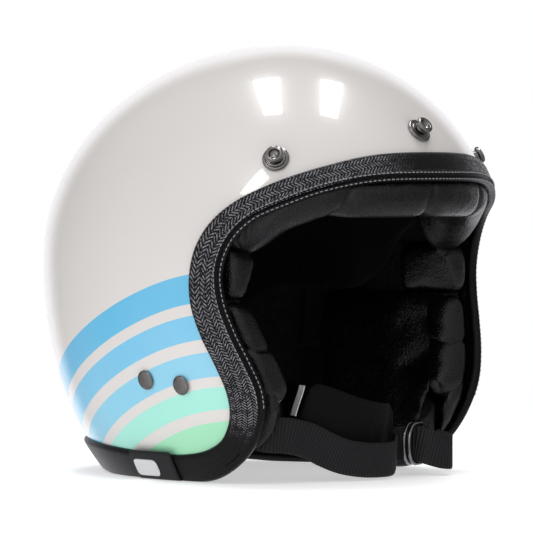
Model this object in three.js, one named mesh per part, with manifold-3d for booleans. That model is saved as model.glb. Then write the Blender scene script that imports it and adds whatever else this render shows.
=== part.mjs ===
// Open face motorcycle helmet, standing on its bottom trim.
// Millimetres, +Z up. The helmet faces -Y, and +X is the wearer's left.
// The origin is under the middle of the helmet, on the surface that it stands on.

import * as THREE from 'three';
import { mergeVertices } from 'three/addons/utils/BufferGeometryUtils.js';
import Module from 'manifold-3d';

const wasm = await Module();
wasm.setup();

// ---------------------------------------------------------------- driving dimensions

// The shell is a stack of superellipses: full at the equator, a dome above it, a tuck below it.
const SHELL = { halfWidth: 115.3, rear: 154.2, front: 127.8, equator: 123.4, dome: 124.8 };
const TUCK_DEPTH = 169;
const TUCK_POWER = 2.15;
const PLAN_POWER = 2.2;
const CENTRE_Y = -16.35; // the shell's widest section lies this far from the origin

const SHELL_WALL = 4;
const GAP = 0.35;
const LINER_INSET = 7.4; // leaves room behind the shell for washers and snap posts
const TRIM_PROUD = 2.8;
const TRIM_INNER = 6.8;
const EDGE_COVER = 3; // the trim's rolled edge reaches this far past the shell's rim

const LINER_CAVITY = { halfWidth: 88, rear: 118, front: 109.5, equator: 123.4, dome: 92 };
const PADDED_CAVITY = { ...LINER_CAVITY, halfWidth: 87.5, rear: 117.5, front: 109, dome: 91.5 };
const HEAD_CAVITY = { halfWidth: 77, rear: 107, front: 99, equator: 123.4, dome: 82 };

const AROUND = 44;
const ROWS_BELOW = 5;
const ROWS_ABOVE = 8;

// Side profile of the face opening's rolled edge, (y, z) from the brow to the jaw and back to the nape.
const ROLL_LINE = [
  [-135, 169], [-114, 169.2], [-98, 163.8], [-83, 156], [-68, 147.5], [-58, 135.5], [-53, 120],
  [-54, 104], [-59, 87], [-65, 70], [-68.5, 55], [-67, 42], [-61.5, 29.5], [-52, 17.5], [-39, 8],
  [-26, 2.2], [-12, 0], [10, 0], [40, 0], [64, 0], [90, 2], [118, 4.5], [170, 6],
];

// Side profile of the trim's outer edge, where the leather band ends on the painted shell.
const TRIM_LINE = [
  [-135, 186.5], [-108, 184.8], [-94, 178.6], [-72, 167.6], [-57, 158.6], [-45, 147.5], [-36.5, 133],
  [-32.8, 117], [-33.2, 101], [-38, 84], [-44.5, 68], [-48.6, 52], [-46.8, 38], [-38.5, 25.6],
  [-26, 18.8], [-10, 15.7], [10, 15.3], [40, 16.6], [80, 18.8], [120, 20.5], [170, 21.5],
];

const TRIM_SEAM_Y = -3;
const TAG = { y0: -1, y1: 33, proud: 1.3, reach: 18 };

const SNAPS = { sideX: 83.3, sideZ: 181.8, centreZ: 197.5 };
const SNAP = {
  dish: 7.6, dishHeight: 2.1, neck: 3.6, head: 5.2, cup: 2.9, cupFloor: 4.2, height: 6.8, post: 2.2,
  depth: 7.6, seat: 0.8,
};
const WASHER = { radius: 5, thick: 0.9 };

const RIVET = {
  head: 5.75, thick: 1.6, shank: 2.4, depth: 10.5, seat: 0.5, spots: [[5.6, 57.8], [-20.5, 55.6]],
};
const ANCHOR = { y: -7.5, z: 56.7, width: 40, height: 18, thick: 1.5, depth: 7.2 };
const DRILL = { inner: -16, outer: 8 }; // how far holes are cut to each side of the painted surface

const HINGE = { y: -8, z: 52 };
const PAD_REACH = 46; // the strap legs swing round the cheek pads outside this radius of the hinge
const WEB = { width: 20, thick: 1.6 };
const RING = { wire: 1.1, height: 23.6, arm: 8.5, depth: 19.5 };

// How deep the padding lies under the painted surface, and where each part of it ends.
const CHEEK = { blockInner: 19.5, padOuter: 23.6, padInner: 37, front: -60, rear: 62, low: 69, top: 103.5 };
const TEMPLE = { thick: 11 };
const BROW = { frontReach: 100, top: 189, back: -44, foamLip: 172 };
const NECK_ROLL = { front: 68, low: 8, high: 46, inner: 30 };
const FOAM_END = {
  rear: 60, overNeck: 47, overCheek: 66, overBrow: 172.5, overTemple: 133.6, templeRear: -15.6,
};

// ---------------------------------------------------------------- materials

function finish(color, roughness, metalness = 0) {
  return new THREE.MeshStandardMaterial({ color, roughness, metalness });
}

const PAINT = finish(0xded9d5, 0.08);
const FOAM = finish(0x2a2a2c, 0.95);
const LEATHER = finish(0x17171a, 0.5);
const PAD_CLOTH = finish(0x1f1f22, 0.7);
const MESH_CLOTH = finish(0x19191b, 0.85);
const WEBBING = finish(0x141416, 0.75);
const STEEL = finish(0x8a8a8c, 0.3, 1);
const DARK_NICKEL = finish(0x5d5a58, 0.28, 1);
const LABEL = finish(0xe9e6e2, 0.8);

// ---------------------------------------------------------------- solids

function solid(geometry) {
  const bare = geometry.index ? geometry.toNonIndexed() : geometry.clone();
  for (const name of Object.keys(bare.attributes)) {
    if (name !== 'position') bare.deleteAttribute(name);
  }
  const merged = mergeVertices(bare, 1e-4);
  const triangles = [];
  const index = merged.index.array;
  for (let i = 0; i < index.length; i += 3) {
    const [a, b, c] = [index[i], index[i + 1], index[i + 2]];
    if (a !== b && b !== c && c !== a) triangles.push(a, b, c);
  }
  return new wasm.Manifold(new wasm.Mesh({
    numProp: 3,
    vertProperties: new Float32Array(merged.attributes.position.array),
    triVerts: new Uint32Array(triangles),
  }));
}

function geometryOf(manifold) {
  const mesh = manifold.getMesh();
  const geometry = new THREE.BufferGeometry();
  geometry.setAttribute('position', new THREE.BufferAttribute(new Float32Array(mesh.vertProperties), 3));
  geometry.setIndex(new THREE.BufferAttribute(new Uint32Array(mesh.triVerts), 1));
  geometry.computeVertexNormals();
  return geometry;
}

function grid(rows, closedEnds = true) {
  const count = rows[0].length;
  const positions = [];
  const triangle = (a, b, c) => positions.push(...a, ...b, ...c);
  for (let r = 0; r + 1 < rows.length; r += 1) {
    for (let k = 0; k < count; k += 1) {
      const n = (k + 1) % count;
      triangle(rows[r][k], rows[r][n], rows[r + 1][n]);
      triangle(rows[r][k], rows[r + 1][n], rows[r + 1][k]);
    }
  }
  if (closedEnds) {
    for (const [row, flip] of [[rows[0], true], [rows[rows.length - 1], false]]) {
      for (let k = 1; k + 1 < count; k += 1) {
        if (flip) triangle(row[0], row[k + 1], row[k]);
        else triangle(row[0], row[k], row[k + 1]);
      }
    }
  }
  const geometry = new THREE.BufferGeometry();
  geometry.setAttribute('position', new THREE.BufferAttribute(new Float32Array(positions), 3));
  return geometry;
}

// ---------------------------------------------------------------- the shell's form

function inset(depth) {
  return {
    halfWidth: SHELL.halfWidth - depth,
    rear: SHELL.rear - depth,
    front: SHELL.front - depth,
    equator: SHELL.equator,
    dome: SHELL.dome - depth,
  };
}

// How full the section at height z is, from 1 at the equator down to 0 at the top of the dome.
function fullness(form, z) {
  const rise = z - form.equator;
  if (rise >= 0) return Math.sqrt(Math.max(0, 1 - (rise / form.dome) ** 2));
  return (1 - (-rise / TUCK_DEPTH) ** TUCK_POWER) ** (1 / TUCK_POWER);
}

function sectionPoint(form, angle, z) {
  const c = Math.cos(angle);
  const s = Math.sin(angle);
  const full = fullness(form, z);
  const round = (v) => Math.sign(v) * Math.abs(v) ** (2 / PLAN_POWER);
  return [form.halfWidth * full * round(c), (s < 0 ? form.front : form.rear) * full * round(s), z];
}

const FLOOR_Z = -30;
const bodyCache = new Map();

function body(form) {
  const key = JSON.stringify(form);
  if (!bodyCache.has(key)) {
    const heights = [];
    for (let i = 0; i < ROWS_BELOW; i += 1) {
      heights.push(FLOOR_Z + (form.equator - FLOOR_Z) * (i / ROWS_BELOW));
    }
    for (let i = 0; i < ROWS_ABOVE; i += 1) {
      heights.push(form.equator + form.dome * Math.sin((Math.PI / 2) * (i / ROWS_ABOVE)));
    }
    heights.push(form.equator + form.dome * 0.9995);
    const rows = heights.map((z) => {
      const row = [];
      for (let k = 0; k < AROUND; k += 1) row.push(sectionPoint(form, (k / AROUND) * Math.PI * 2, z));
      return row;
    });
    bodyCache.set(key, solid(grid(rows)));
  }
  return bodyCache.get(key);
}

function between(outer, inner) {
  return body(outer).subtract(body(inner));
}

// x of the form's surface at a place in side view, on the wearer's left.
function surfaceX(form, y, z) {
  const full = fullness(form, z);
  const along = Math.abs(y) / ((y < 0 ? form.front : form.rear) * full);
  return form.halfWidth * full * (1 - Math.min(1, along) ** PLAN_POWER) ** (1 / PLAN_POWER);
}

// y of the form's surface ahead of the equator's middle, at a place in front view.
function surfaceFrontY(form, x, z) {
  const full = fullness(form, z);
  const across = Math.abs(x) / (form.halfWidth * full);
  return -form.front * full * (1 - Math.min(1, across) ** PLAN_POWER) ** (1 / PLAN_POWER);
}

function surfaceNormal(point) {
  const form = SHELL;
  const level = (x, y, z) => (Math.abs(x) / form.halfWidth) ** PLAN_POWER
    + (Math.abs(y) / (y < 0 ? form.front : form.rear)) ** PLAN_POWER - fullness(form, z) ** PLAN_POWER;
  const [x, y, z] = point.toArray();
  const step = 0.01;
  return new THREE.Vector3(
    level(x + step, y, z) - level(x - step, y, z),
    level(x, y + step, z) - level(x, y - step, z),
    level(x, y, z + step) - level(x, y, z - step),
  ).normalize();
}

// ---------------------------------------------------------------- side-view regions

// A prism along X over an outline given as (y, z) points.
function prism(outline, x0 = -170, x1 = 170) {
  const shape = new THREE.Shape(outline.map(([y, z]) => new THREE.Vector2(y, z)));
  const geometry = new THREE.ExtrudeGeometry(shape, { depth: x1 - x0, bevelEnabled: false });
  geometry.applyMatrix4(new THREE.Matrix4().set(
    0, 0, 1, x0,
    1, 0, 0, 0,
    0, 1, 0, 0,
    0, 0, 0, 1,
  ));
  return solid(geometry);
}

function smooth(points, count) {
  const curve = new THREE.CatmullRomCurve3(
    points.map(([y, z]) => new THREE.Vector3(y, z, 0)), false, 'centripetal',
  );
  return curve.getSpacedPoints(count).map((p) => [p.x, p.y]);
}

// Moves an outline sideways, towards the helmet's material.
function shifted(outline, distance) {
  return outline.map(([y, z], i) => {
    const before = outline[Math.max(0, i - 1)];
    const after = outline[Math.min(outline.length - 1, i + 1)];
    const dy = after[0] - before[0];
    const dz = after[1] - before[1];
    const length = Math.hypot(dy, dz);
    return [y - (dz / length) * distance, z + (dy / length) * distance];
  });
}

const roll = smooth(ROLL_LINE, 44);
const trimEdge = smooth(TRIM_LINE, 36);

// Everything that lies behind and above an edge line.
function behind(line) {
  return prism([...line, [190, 300], [-190, 300], [-190, line[0][1]]]);
}

function slab(y0, y1, z0, z1, x0 = -170, x1 = 170) {
  return prism([[y0, z0], [y1, z0], [y1, z1], [y0, z1]], x0, x1);
}

const helmetRegion = behind(roll);
const shellRegion = behind(shifted(roll, EDGE_COVER));
const linerRegion = behind(shifted(roll, 7));

// ---------------------------------------------------------------- nodes

const helmet = new THREE.Group();
helmet.position.y = CENTRE_Y;

function add(name, geometry, material, parent = helmet) {
  const mesh = new THREE.Mesh(geometry, material);
  mesh.name = name;
  parent.add(mesh);
  return mesh;
}

function addSolid(name, manifold, material) {
  return add(name, geometryOf(manifold), material);
}

const SIDES = [['right', -1], ['left', 1]];

// A hole or shaft along a direction, given by its end points.
function rod(from, to, radius, sides = 12) {
  const along = new THREE.Vector3().subVectors(to, from);
  const geometry = new THREE.CylinderGeometry(radius, radius, along.length(), sides);
  geometry.translate(0, along.length() / 2, 0);
  geometry.applyQuaternion(new THREE.Quaternion().setFromUnitVectors(
    new THREE.Vector3(0, 1, 0), along.clone().normalize(),
  ));
  geometry.translate(from.x, from.y, from.z);
  return solid(geometry);
}

// A lathed piece whose axis leaves the shell at a point, along a direction.
function turned(profile, origin, direction, sides = 16) {
  const geometry = new THREE.LatheGeometry(profile.map(([r, h]) => new THREE.Vector2(r, h)), sides);
  geometry.applyQuaternion(new THREE.Quaternion().setFromUnitVectors(new THREE.Vector3(0, 1, 0), direction));
  geometry.translate(origin.x, origin.y, origin.z);
  return solid(geometry);
}

function snapSpots() {
  const spots = [['centre', 0, SNAPS.centreZ]];
  for (const [side, sign] of SIDES) spots.push([side, sign * SNAPS.sideX, SNAPS.sideZ]);
  return spots.map(([name, x, z]) => {
    const origin = new THREE.Vector3(x, surfaceFrontY(SHELL, x, z), z);
    return { name, origin, normal: surfaceNormal(origin) };
  });
}

// Both rivets of a side share the direction that the anchor plate faces.
function anchorSpots() {
  return SIDES.map(([side, sign]) => {
    const onShell = (y, z) => new THREE.Vector3(sign * surfaceX(SHELL, y, z), y, z);
    const origin = onShell(ANCHOR.y, ANCHOR.z);
    const normal = surfaceNormal(origin);
    normal.y = 0;
    normal.normalize();
    const rivets = RIVET.spots.map(([y, z]) => onShell(y, z));
    return { side, sign, origin, normal, rivets };
  });
}

function along(origin, direction, distance) {
  return origin.clone().addScaledVector(direction, distance);
}

function drilled(origin, normal, radius) {
  return rod(along(origin, normal, DRILL.inner), along(origin, normal, DRILL.outer), radius + GAP);
}

function makeShell() {
  let shell = between(SHELL, inset(SHELL_WALL)).intersect(shellRegion);
  for (const { origin, normal } of snapSpots()) shell = shell.subtract(drilled(origin, normal, SNAP.post));
  for (const { normal, rivets } of anchorSpots()) {
    for (const spot of rivets) shell = shell.subtract(drilled(spot, normal, RIVET.shank));
  }
  addSolid('outer_shell', shell, PAINT);
}

// The trim is a channel of leather that wraps the shell's rim: face edge first, then nape.
function makeTrim() {
  const band = helmetRegion.subtract(behind(trimEdge));
  const channel = between(inset(-TRIM_PROUD), inset(TRIM_INNER)).intersect(band);
  const rim = between(inset(-GAP), inset(SHELL_WALL + GAP))
    .intersect(behind(shifted(roll, EDGE_COVER - GAP)));
  const trim = channel.subtract(rim).intersect(slab(-190, 190, 0, 300));
  addSolid('face_trim', trim.intersect(slab(-190, TRIM_SEAM_Y, -40, 300)), LEATHER);
  addSolid('neck_trim', trim.intersect(slab(TRIM_SEAM_Y + GAP, 190, -40, 300)), LEATHER);
}

// A strip of folded tape sewn round the trim behind the seam, on the wearer's right.
function makeTag() {
  const outside = between(inset(-TRIM_PROUD - GAP - TAG.proud), inset(-TRIM_PROUD - GAP));
  addSolid('label_tag', outside.intersect(slab(TAG.y0, TAG.y1, 0.6, TAG.reach, -170, 0)), WEBBING);
}

const browRegion = prism([
  [-150, 149], [-98, 149], [-80, 145], [-62, 134], [BROW.back, 134], [BROW.back, 150], [-60, BROW.top],
  [-150, BROW.top],
]);
const crownRegion = prism([
  [-110, 190], [-59, 190], [-42, 150], [-15, 134], [12, 105], [70, 105], [100, 60], [190, 60], [190, 300],
  [-110, 300],
]);
const templeRegion = prism([[-50, 104.5], [-16, 104.5], [-16, 130], [-43.4, 133.2], [-53, 133.2]]);
const cheekBlockRegion = slab(CHEEK.front, CHEEK.rear, CHEEK.low, CHEEK.top);

function cheekPadOutline() {
  const points = [[44, CHEEK.top - 10], [38, CHEEK.top], [-54, CHEEK.top], [-59, 92], [-56, 70]];
  for (let i = 0; i <= 12; i += 1) {
    const angle = Math.PI * (0.96 + i / 12);
    points.push([HINGE.y + PAD_REACH * Math.cos(angle), HINGE.z + PAD_REACH * Math.sin(angle)]);
  }
  return points;
}

function makeLiners() {
  const rimGroove = between(inset(SHELL_WALL), inset(TRIM_INNER + GAP))
    .subtract(behind(shifted(trimEdge, 1)));
  const foam = between(inset(LINER_INSET), LINER_CAVITY).intersect(linerRegion).subtract(rimGroove);
  const hood = foam.subtract(slab(-190, FOAM_END.overCheek, -40, CHEEK.top + GAP))
    .subtract(slab(FOAM_END.rear, 190, -40, FOAM_END.overNeck))
    .subtract(slab(-150, BROW.back, 60, FOAM_END.overBrow))
    .subtract(slab(-150, FOAM_END.templeRear, 60, FOAM_END.overTemple));
  addSolid('eps_liner', hood, FOAM);

  addSolid('crown_pad', between(PADDED_CAVITY, HEAD_CAVITY).intersect(crownRegion), PAD_CLOTH);

  const foamLip = between(inset(LINER_INSET - 2.4), PADDED_CAVITY)
    .intersect(slab(-190, 190, BROW.foamLip, 300));
  const brow = between(inset(TRIM_INNER + GAP), { ...HEAD_CAVITY, front: BROW.frontReach })
    .intersect(browRegion).subtract(foamLip);
  addSolid('brow_pad', brow, PAD_CLOTH);

  const temples = between(inset(TRIM_INNER + GAP), inset(TRIM_INNER + TEMPLE.thick)).intersect(templeRegion);
  const blocks = foam.intersect(cheekBlockRegion)
    .subtract(body(inset(CHEEK.blockInner)).subtract(body(inset(60))));
  const pads = between(inset(CHEEK.padOuter), inset(CHEEK.padInner)).intersect(prism(cheekPadOutline()));
  for (const [side, sign] of SIDES) {
    const half = sign < 0 ? slab(-190, 190, -40, 300, -170, 0) : slab(-190, 190, -40, 300, 0, 170);
    addSolid(`temple_patch_${side}`, temples.intersect(half), MESH_CLOTH);
    addSolid(`cheek_core_${side}`, blocks.intersect(half), FOAM);
    addSolid(`cheek_pad_${side}`, pads.intersect(half), PAD_CLOTH);
  }

  const napeRegion = slab(NECK_ROLL.front, 190, NECK_ROLL.low, NECK_ROLL.high);
  const nape = between(inset(TRIM_INNER + GAP), inset(NECK_ROLL.inner)).intersect(napeRegion);
  addSolid('neck_roll', nape, PAD_CLOTH);
}

function addWasher(name, shank, origin, normal) {
  const hole = shank + GAP;
  addSolid(name, turned([
    [hole, 0], [WASHER.radius, 0], [WASHER.radius, WASHER.thick], [hole, WASHER.thick], [hole, 0],
  ], origin, normal), STEEL);
}

function makeSnaps() {
  const { dish, dishHeight, neck, head, cup, cupFloor, height, post, depth, seat } = SNAP;
  for (const { name, origin, normal } of snapSpots()) {
    const base = along(origin, normal, seat);
    addSolid(`snap_base_${name}`, turned([
      [post + GAP, 0], [dish - 1, 0], [dish, 0.6], [dish - 0.3, 1.2], [dish - 2, dishHeight],
      [post + GAP, dishHeight], [post + GAP, 0],
    ], base, normal), DARK_NICKEL);
    addSolid(`snap_stud_${name}`, turned([
      [0, -depth], [post, -depth], [post, dishHeight + GAP],
      [neck, dishHeight + GAP], [neck - 0.4, 3.9], [head - 0.5, 4.6], [head, 5.4], [head - 0.4, 6.4],
      [head - 1, height], [cup, height], [cup - 0.3, cupFloor + 0.2], [0, cupFloor],
    ], base, normal), DARK_NICKEL);
    addWasher(`snap_washer_${name}`, post, along(origin, normal, -SHELL_WALL - 2.3), normal);
  }
}

function makeAnchors() {
  const { head, thick, shank, depth, seat } = RIVET;
  const holes = ['rear', 'front'];
  for (const { side, sign, origin, normal, rivets } of anchorSpots()) {
    const plateGeometry = new THREE.BoxGeometry(ANCHOR.thick, ANCHOR.width, ANCHOR.height);
    const turn = Math.atan2(normal.z, Math.abs(normal.x));
    plateGeometry.rotateY(-sign * turn);
    const centre = along(origin, normal, -ANCHOR.depth);
    plateGeometry.translate(centre.x, centre.y, centre.z);
    let plate = solid(plateGeometry);
    rivets.forEach((spot, i) => {
      plate = plate.subtract(drilled(spot, normal, shank));
      addSolid(`rivet_${side}_${holes[i]}`, turned([
        [0, -depth], [shank, -depth], [shank, 0], [head, 0], [head, thick * 0.55], [head - 0.7, thick],
        [0, thick],
      ], along(spot, normal, seat), normal), DARK_NICKEL);
      addWasher(`rivet_washer_${side}_${holes[i]}`, shank, along(spot, normal, -SHELL_WALL - 5.8), normal);
    });
    addSolid(`anchor_plate_${side}`, plate, STEEL);
  }
}

// ---------------------------------------------------------------- chin strap

// A flat band of webbing along a route of [x, y, z, lean], lean turning its face from upright, in degrees.
function band(route, width, thick, steps) {
  const curve = new THREE.CatmullRomCurve3(
    route.map(([x, y, z]) => new THREE.Vector3(x, y, z)), false, 'centripetal',
  );
  const up = new THREE.Vector3(0, 0, 1);
  const rows = [];
  for (let i = 0; i <= steps; i += 1) {
    const t = i / steps;
    const place = t * (route.length - 1);
    const k = Math.min(route.length - 2, Math.floor(place));
    const lean = THREE.MathUtils.degToRad(
      THREE.MathUtils.lerp(route[k][3] ?? 0, route[k + 1][3] ?? 0, place - k),
    );
    const centre = curve.getPoint(t);
    const tangent = curve.getTangent(t);
    const rise = up.clone().addScaledVector(tangent, -up.dot(tangent)).normalize();
    const face = tangent.clone().cross(rise);
    const across = rise.clone().multiplyScalar(Math.cos(lean)).addScaledVector(face, Math.sin(lean));
    const outward = tangent.clone().cross(across).normalize();
    rows.push([[-1, -1], [1, -1], [1, 1], [-1, 1]].map(([w, n]) => centre.clone()
      .addScaledVector(across, (w * width) / 2).addScaledVector(outward, (n * thick) / 2).toArray()));
  }
  return grid(rows);
}

const STRAP_RIGHT = [
  [-92, -13, 49, 0], [-89.5, -21, 43.5, 0], [-84.6, -32, 37, 0], [-77.9, -42.5, 32, 0],
  [-72, -52.5, 28, 2], [-62, -59.8, 27, 8], [-48, -63.5, 23.5, 12], [-38, -66.5, 18.5, 12],
  [-27, -70.5, 14, 12], [-14, -74.5, 11.6, 12], [0, -76.8, 11.1, 10], [10, -75.5, 11.6, 6],
  [18, -70, 13.6, 2], [24, -63.5, 16, 0], [30.5, -60.2, 17.6, 0], [35.5, -63, 18.2, 0],
  [37.5, -69, 18.2, 0], [41, -75.5, 16.4, 0], [48.5, -79.2, 14, 0], [56, -79, 13.2, 0],
  [60.5, -74.8, 13.6, 0], [57.5, -71.2, 14.6, 0], [51, -71.6, 16, 0],
];
const STRAP_LEFT = [
  [92, -13, 49, 0], [89.5, -21, 43.5, 0], [84.6, -32, 37, 0], [77.9, -42.5, 32, 0],
  [71.8, -51.8, 28, 0], [65.5, -55.4, 24, 0], [60, -56.2, 20.8, 0], [53, -57, 19, 0], [47.8, -58.2, 18.4, 0],
  [43.7, -60.2, 18.3, 0], [42.9, -64.2, 18.2, 0], [46.4, -67.7, 18.2, 0], [50.8, -66.7, 18.4, 0],
  [55.4, -63.2, 19.4, 0], [58.5, -60.6, 20.4, 0],
];
const SLEEVE = [
  [-50, -60.5, 40.5, 10], [-38, -62.5, 37.5, 12], [-22, -66, 32, 13], [-4, -67.5, 27.5, 13],
  [9, -65, 25.8, 12], [18, -59.5, 25, 8], [27, -55.5, 24.8, 4], [33, -53.6, 24.8, 2],
];
const STRAP_LABEL = {
  centre: [-55.5, -62, 46.5], length: 8, height: 17, thick: 0.7, turn: -27, lean: 17,
  leanAxis: [0.73, 0.68, 0],
};
const SLEEVE_SIZE = { width: 34, thick: 5 };
const RING_HEADING = 19;
const RINGS = [['inner', [46, -61.8, 18.2]], ['outer', [47, -64.8, 18.2]]];

function ring(centre, heading) {
  const half = RING.height / 2;
  const corner = 2;
  const outline = new THREE.CurvePath();
  const at = (t, w) => new THREE.Vector3(t, 0, w);
  outline.add(new THREE.LineCurve3(at(0, -half + corner), at(0, half - corner)));
  outline.add(new THREE.QuadraticBezierCurve3(at(0, half - corner), at(0, half), at(-corner, half)));
  outline.add(new THREE.LineCurve3(at(-corner, half), at(-RING.arm, half)));
  const tip = (RING.depth - RING.arm) / 0.75;
  outline.add(new THREE.CubicBezierCurve3(
    at(-RING.arm, half), at(-RING.arm - tip, half), at(-RING.arm - tip, -half), at(-RING.arm, -half),
  ));
  outline.add(new THREE.LineCurve3(at(-RING.arm, -half), at(-corner, -half)));
  outline.add(new THREE.QuadraticBezierCurve3(at(-corner, -half), at(0, -half), at(0, -half + corner)));
  const points = outline.getSpacedPoints(30).slice(0, 30);
  const rows = points.map((p, i) => {
    const next = points[(i + 1) % points.length];
    const before = points[(i + points.length - 1) % points.length];
    const tangent = next.clone().sub(before).normalize();
    const side = new THREE.Vector3(0, 1, 0);
    const out = tangent.clone().cross(side);
    const row = [];
    for (let k = 0; k < 8; k += 1) {
      const a = (k / 8) * Math.PI * 2;
      row.push(p.clone().addScaledVector(side, RING.wire * Math.cos(a))
        .addScaledVector(out, RING.wire * Math.sin(a)).toArray());
    }
    return row;
  });
  rows.push(rows[0]);
  const geometry = grid(rows, false);
  geometry.rotateZ(THREE.MathUtils.degToRad(heading));
  geometry.translate(...centre);
  return solid(geometry);
}

function makeStrap() {
  addSolid('strap_right', solid(band(STRAP_RIGHT, WEB.width, WEB.thick, 72)), WEBBING);
  addSolid('strap_left', solid(band(STRAP_LEFT, WEB.width, WEB.thick, 40)), WEBBING);
  addSolid('strap_sleeve', solid(band(SLEEVE, SLEEVE_SIZE.width, SLEEVE_SIZE.thick, 18)), PAD_CLOTH);
  const { centre, length, height, thick, turn, lean, leanAxis } = STRAP_LABEL;
  const label = new THREE.BoxGeometry(thick, length, height);
  label.rotateZ(THREE.MathUtils.degToRad(turn));
  label.applyQuaternion(new THREE.Quaternion().setFromAxisAngle(
    new THREE.Vector3(...leanAxis).normalize(), THREE.MathUtils.degToRad(lean),
  ));
  label.translate(...centre);
  add('strap_label', label, LABEL);
  for (const [name, centre] of RINGS) {
    addSolid(`d_ring_${name}`, ring(centre, RING_HEADING), STEEL);
  }
}

makeShell();
makeTrim();
makeTag();
makeLiners();
makeSnaps();
makeAnchors();
makeStrap();

export default helmet;
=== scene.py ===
"""Open face helmet: painted shell, embossed leather trim, padded lining and a buckled chin strap."""
import math

import bpy
import numpy as np
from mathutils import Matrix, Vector


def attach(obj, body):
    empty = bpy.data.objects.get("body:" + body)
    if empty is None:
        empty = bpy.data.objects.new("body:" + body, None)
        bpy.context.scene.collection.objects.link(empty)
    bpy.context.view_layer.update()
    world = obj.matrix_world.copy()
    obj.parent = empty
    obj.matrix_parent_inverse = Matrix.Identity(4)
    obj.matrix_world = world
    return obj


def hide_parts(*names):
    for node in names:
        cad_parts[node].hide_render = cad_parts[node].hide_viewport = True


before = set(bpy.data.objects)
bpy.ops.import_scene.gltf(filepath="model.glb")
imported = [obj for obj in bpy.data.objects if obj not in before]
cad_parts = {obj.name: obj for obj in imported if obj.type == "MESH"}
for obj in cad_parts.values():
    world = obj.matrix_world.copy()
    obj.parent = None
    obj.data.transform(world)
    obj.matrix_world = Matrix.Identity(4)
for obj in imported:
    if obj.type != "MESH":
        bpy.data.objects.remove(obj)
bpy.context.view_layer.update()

# ---------------------------------------------------------------- sizes, in mm
# Builders work in mm, with y measured from the shell's widest section, which the frame has at CENTRE_Y.

CENTRE_Y = -16.35
MM = 0.001
SIDES = {"right": -1, "left": 1}

SHELL = (115.3, 154.2, 127.8, 124.8)  # half width, rear, front, dome
EQUATOR, TUCK_DEPTH, TUCK_POWER, PLAN_POWER = 123.4, 169.0, 2.15, 2.2
LINER_CAVITY = (87.5, 117.5, 109.0, 91.5)
HEAD_CAVITY = (77.0, 107.0, 99.0, 82.0)
BROW_CAVITY = (77.0, 107.0, 100.0, 82.0)

ROLL_LINE = [
    (-135, 169), (-114, 169.2), (-98, 163.8), (-83, 156), (-68, 147.5), (-58, 135.5), (-53, 120),
    (-54, 104), (-59, 87), (-65, 70), (-68.5, 55), (-67, 42), (-61.5, 29.5), (-52, 17.5), (-39, 8),
    (-26, 2.2), (-12, 0), (10, 0), (40, 0), (64, 0), (90, 2), (118, 4.5), (170, 6),
]
TRIM_LINE = [
    (-135, 186.5), (-108, 184.8), (-94, 178.6), (-72, 167.6), (-57, 158.6), (-45, 147.5),
    (-36.5, 133), (-32.8, 117), (-33.2, 101), (-38, 84), (-44.5, 68), (-48.6, 52), (-46.8, 38),
    (-38.5, 25.6), (-26, 18.8), (-10, 15.7), (10, 15.3), (40, 16.6), (80, 18.8), (120, 20.5), (170, 21.5),
]
CROWN_LINE = [(-110, 190), (-59, 190), (-42, 150), (-15, 134), (12, 107), (70, 104), (100, 62), (190, 60)]
TRIM_SEAM_Y = -3
TAG = dict(ys=(-1, 33), zs=(0.6, 18), low=3.15, high=4.45)
PATCH_YS, PATCH_ZS = (11.5, 31.0), (4.5, 13.6)
HINGE_Y, HINGE_Z, PAD_REACH = -8, 52, 46

STRAP_RIGHT = [
    (-92, -13, 49, 0), (-89.5, -21, 43.5, 0), (-84.6, -32, 37, 0), (-77.9, -42.5, 32, 0),
    (-72, -52.5, 28, 2), (-62, -59.8, 27, 8), (-48, -63.5, 23.5, 12), (-38, -66.5, 18.5, 12),
    (-27, -70.5, 14, 12), (-14, -74.5, 11.6, 12), (0, -76.8, 11.1, 10), (10, -75.5, 11.6, 6),
    (18, -70, 13.6, 2), (24, -63.5, 16, 0), (30.5, -60.2, 17.6, 0), (35.5, -63, 18.2, 0),
    (37.5, -69, 18.2, 0), (41, -75.5, 16.4, 0), (48.5, -79.2, 14, 0), (56, -79, 13.2, 0),
    (60.5, -74.8, 13.6, 0), (57.5, -71.2, 14.6, 0), (51, -71.6, 16, 0),
]
STRAP_LEFT = [
    (92, -13, 49, 0), (89.5, -21, 43.5, 0), (84.6, -32, 37, 0), (77.9, -42.5, 32, 0),
    (71.8, -51.8, 28, 0), (65.5, -55.4, 24, 0), (60, -56.2, 20.8, 0), (53, -57, 19, 0),
    (47.8, -58.2, 18.4, 0), (43.7, -60.2, 18.3, 0), (42.9, -64.2, 18.2, 0), (46.4, -67.7, 18.2, 0),
    (50.8, -66.7, 18.4, 0), (55.4, -63.2, 19.4, 0), (58.5, -60.6, 20.4, 0),
]
SLEEVE = [
    (-50, -60.5, 40.5, 10), (-38, -62.5, 37.5, 12), (-22, -66, 32, 13), (-4, -67.5, 27.5, 13),
    (9, -65, 25.8, 12), (18, -59.5, 25, 8), (27, -55.5, 24.8, 4), (33, -53.6, 24.8, 2),
]
RINGS = {"inner": (46, -61.8, 18.2), "outer": (47, -64.8, 18.2)}
RING_HEADING = 19
RIB_PITCH = 1.9

# ---------------------------------------------------------------- the shell's form


def inset(depth):
    return tuple(size - depth for size in SHELL)


def fullness(z, dome):
    rise = z - EQUATOR
    up = np.sqrt(np.clip(1 - (rise / dome) ** 2, 0, None))
    down = (1 - np.clip(-rise / TUCK_DEPTH, 0, 1) ** TUCK_POWER) ** (1 / TUCK_POWER)
    return np.where(rise >= 0, up, down)


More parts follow.
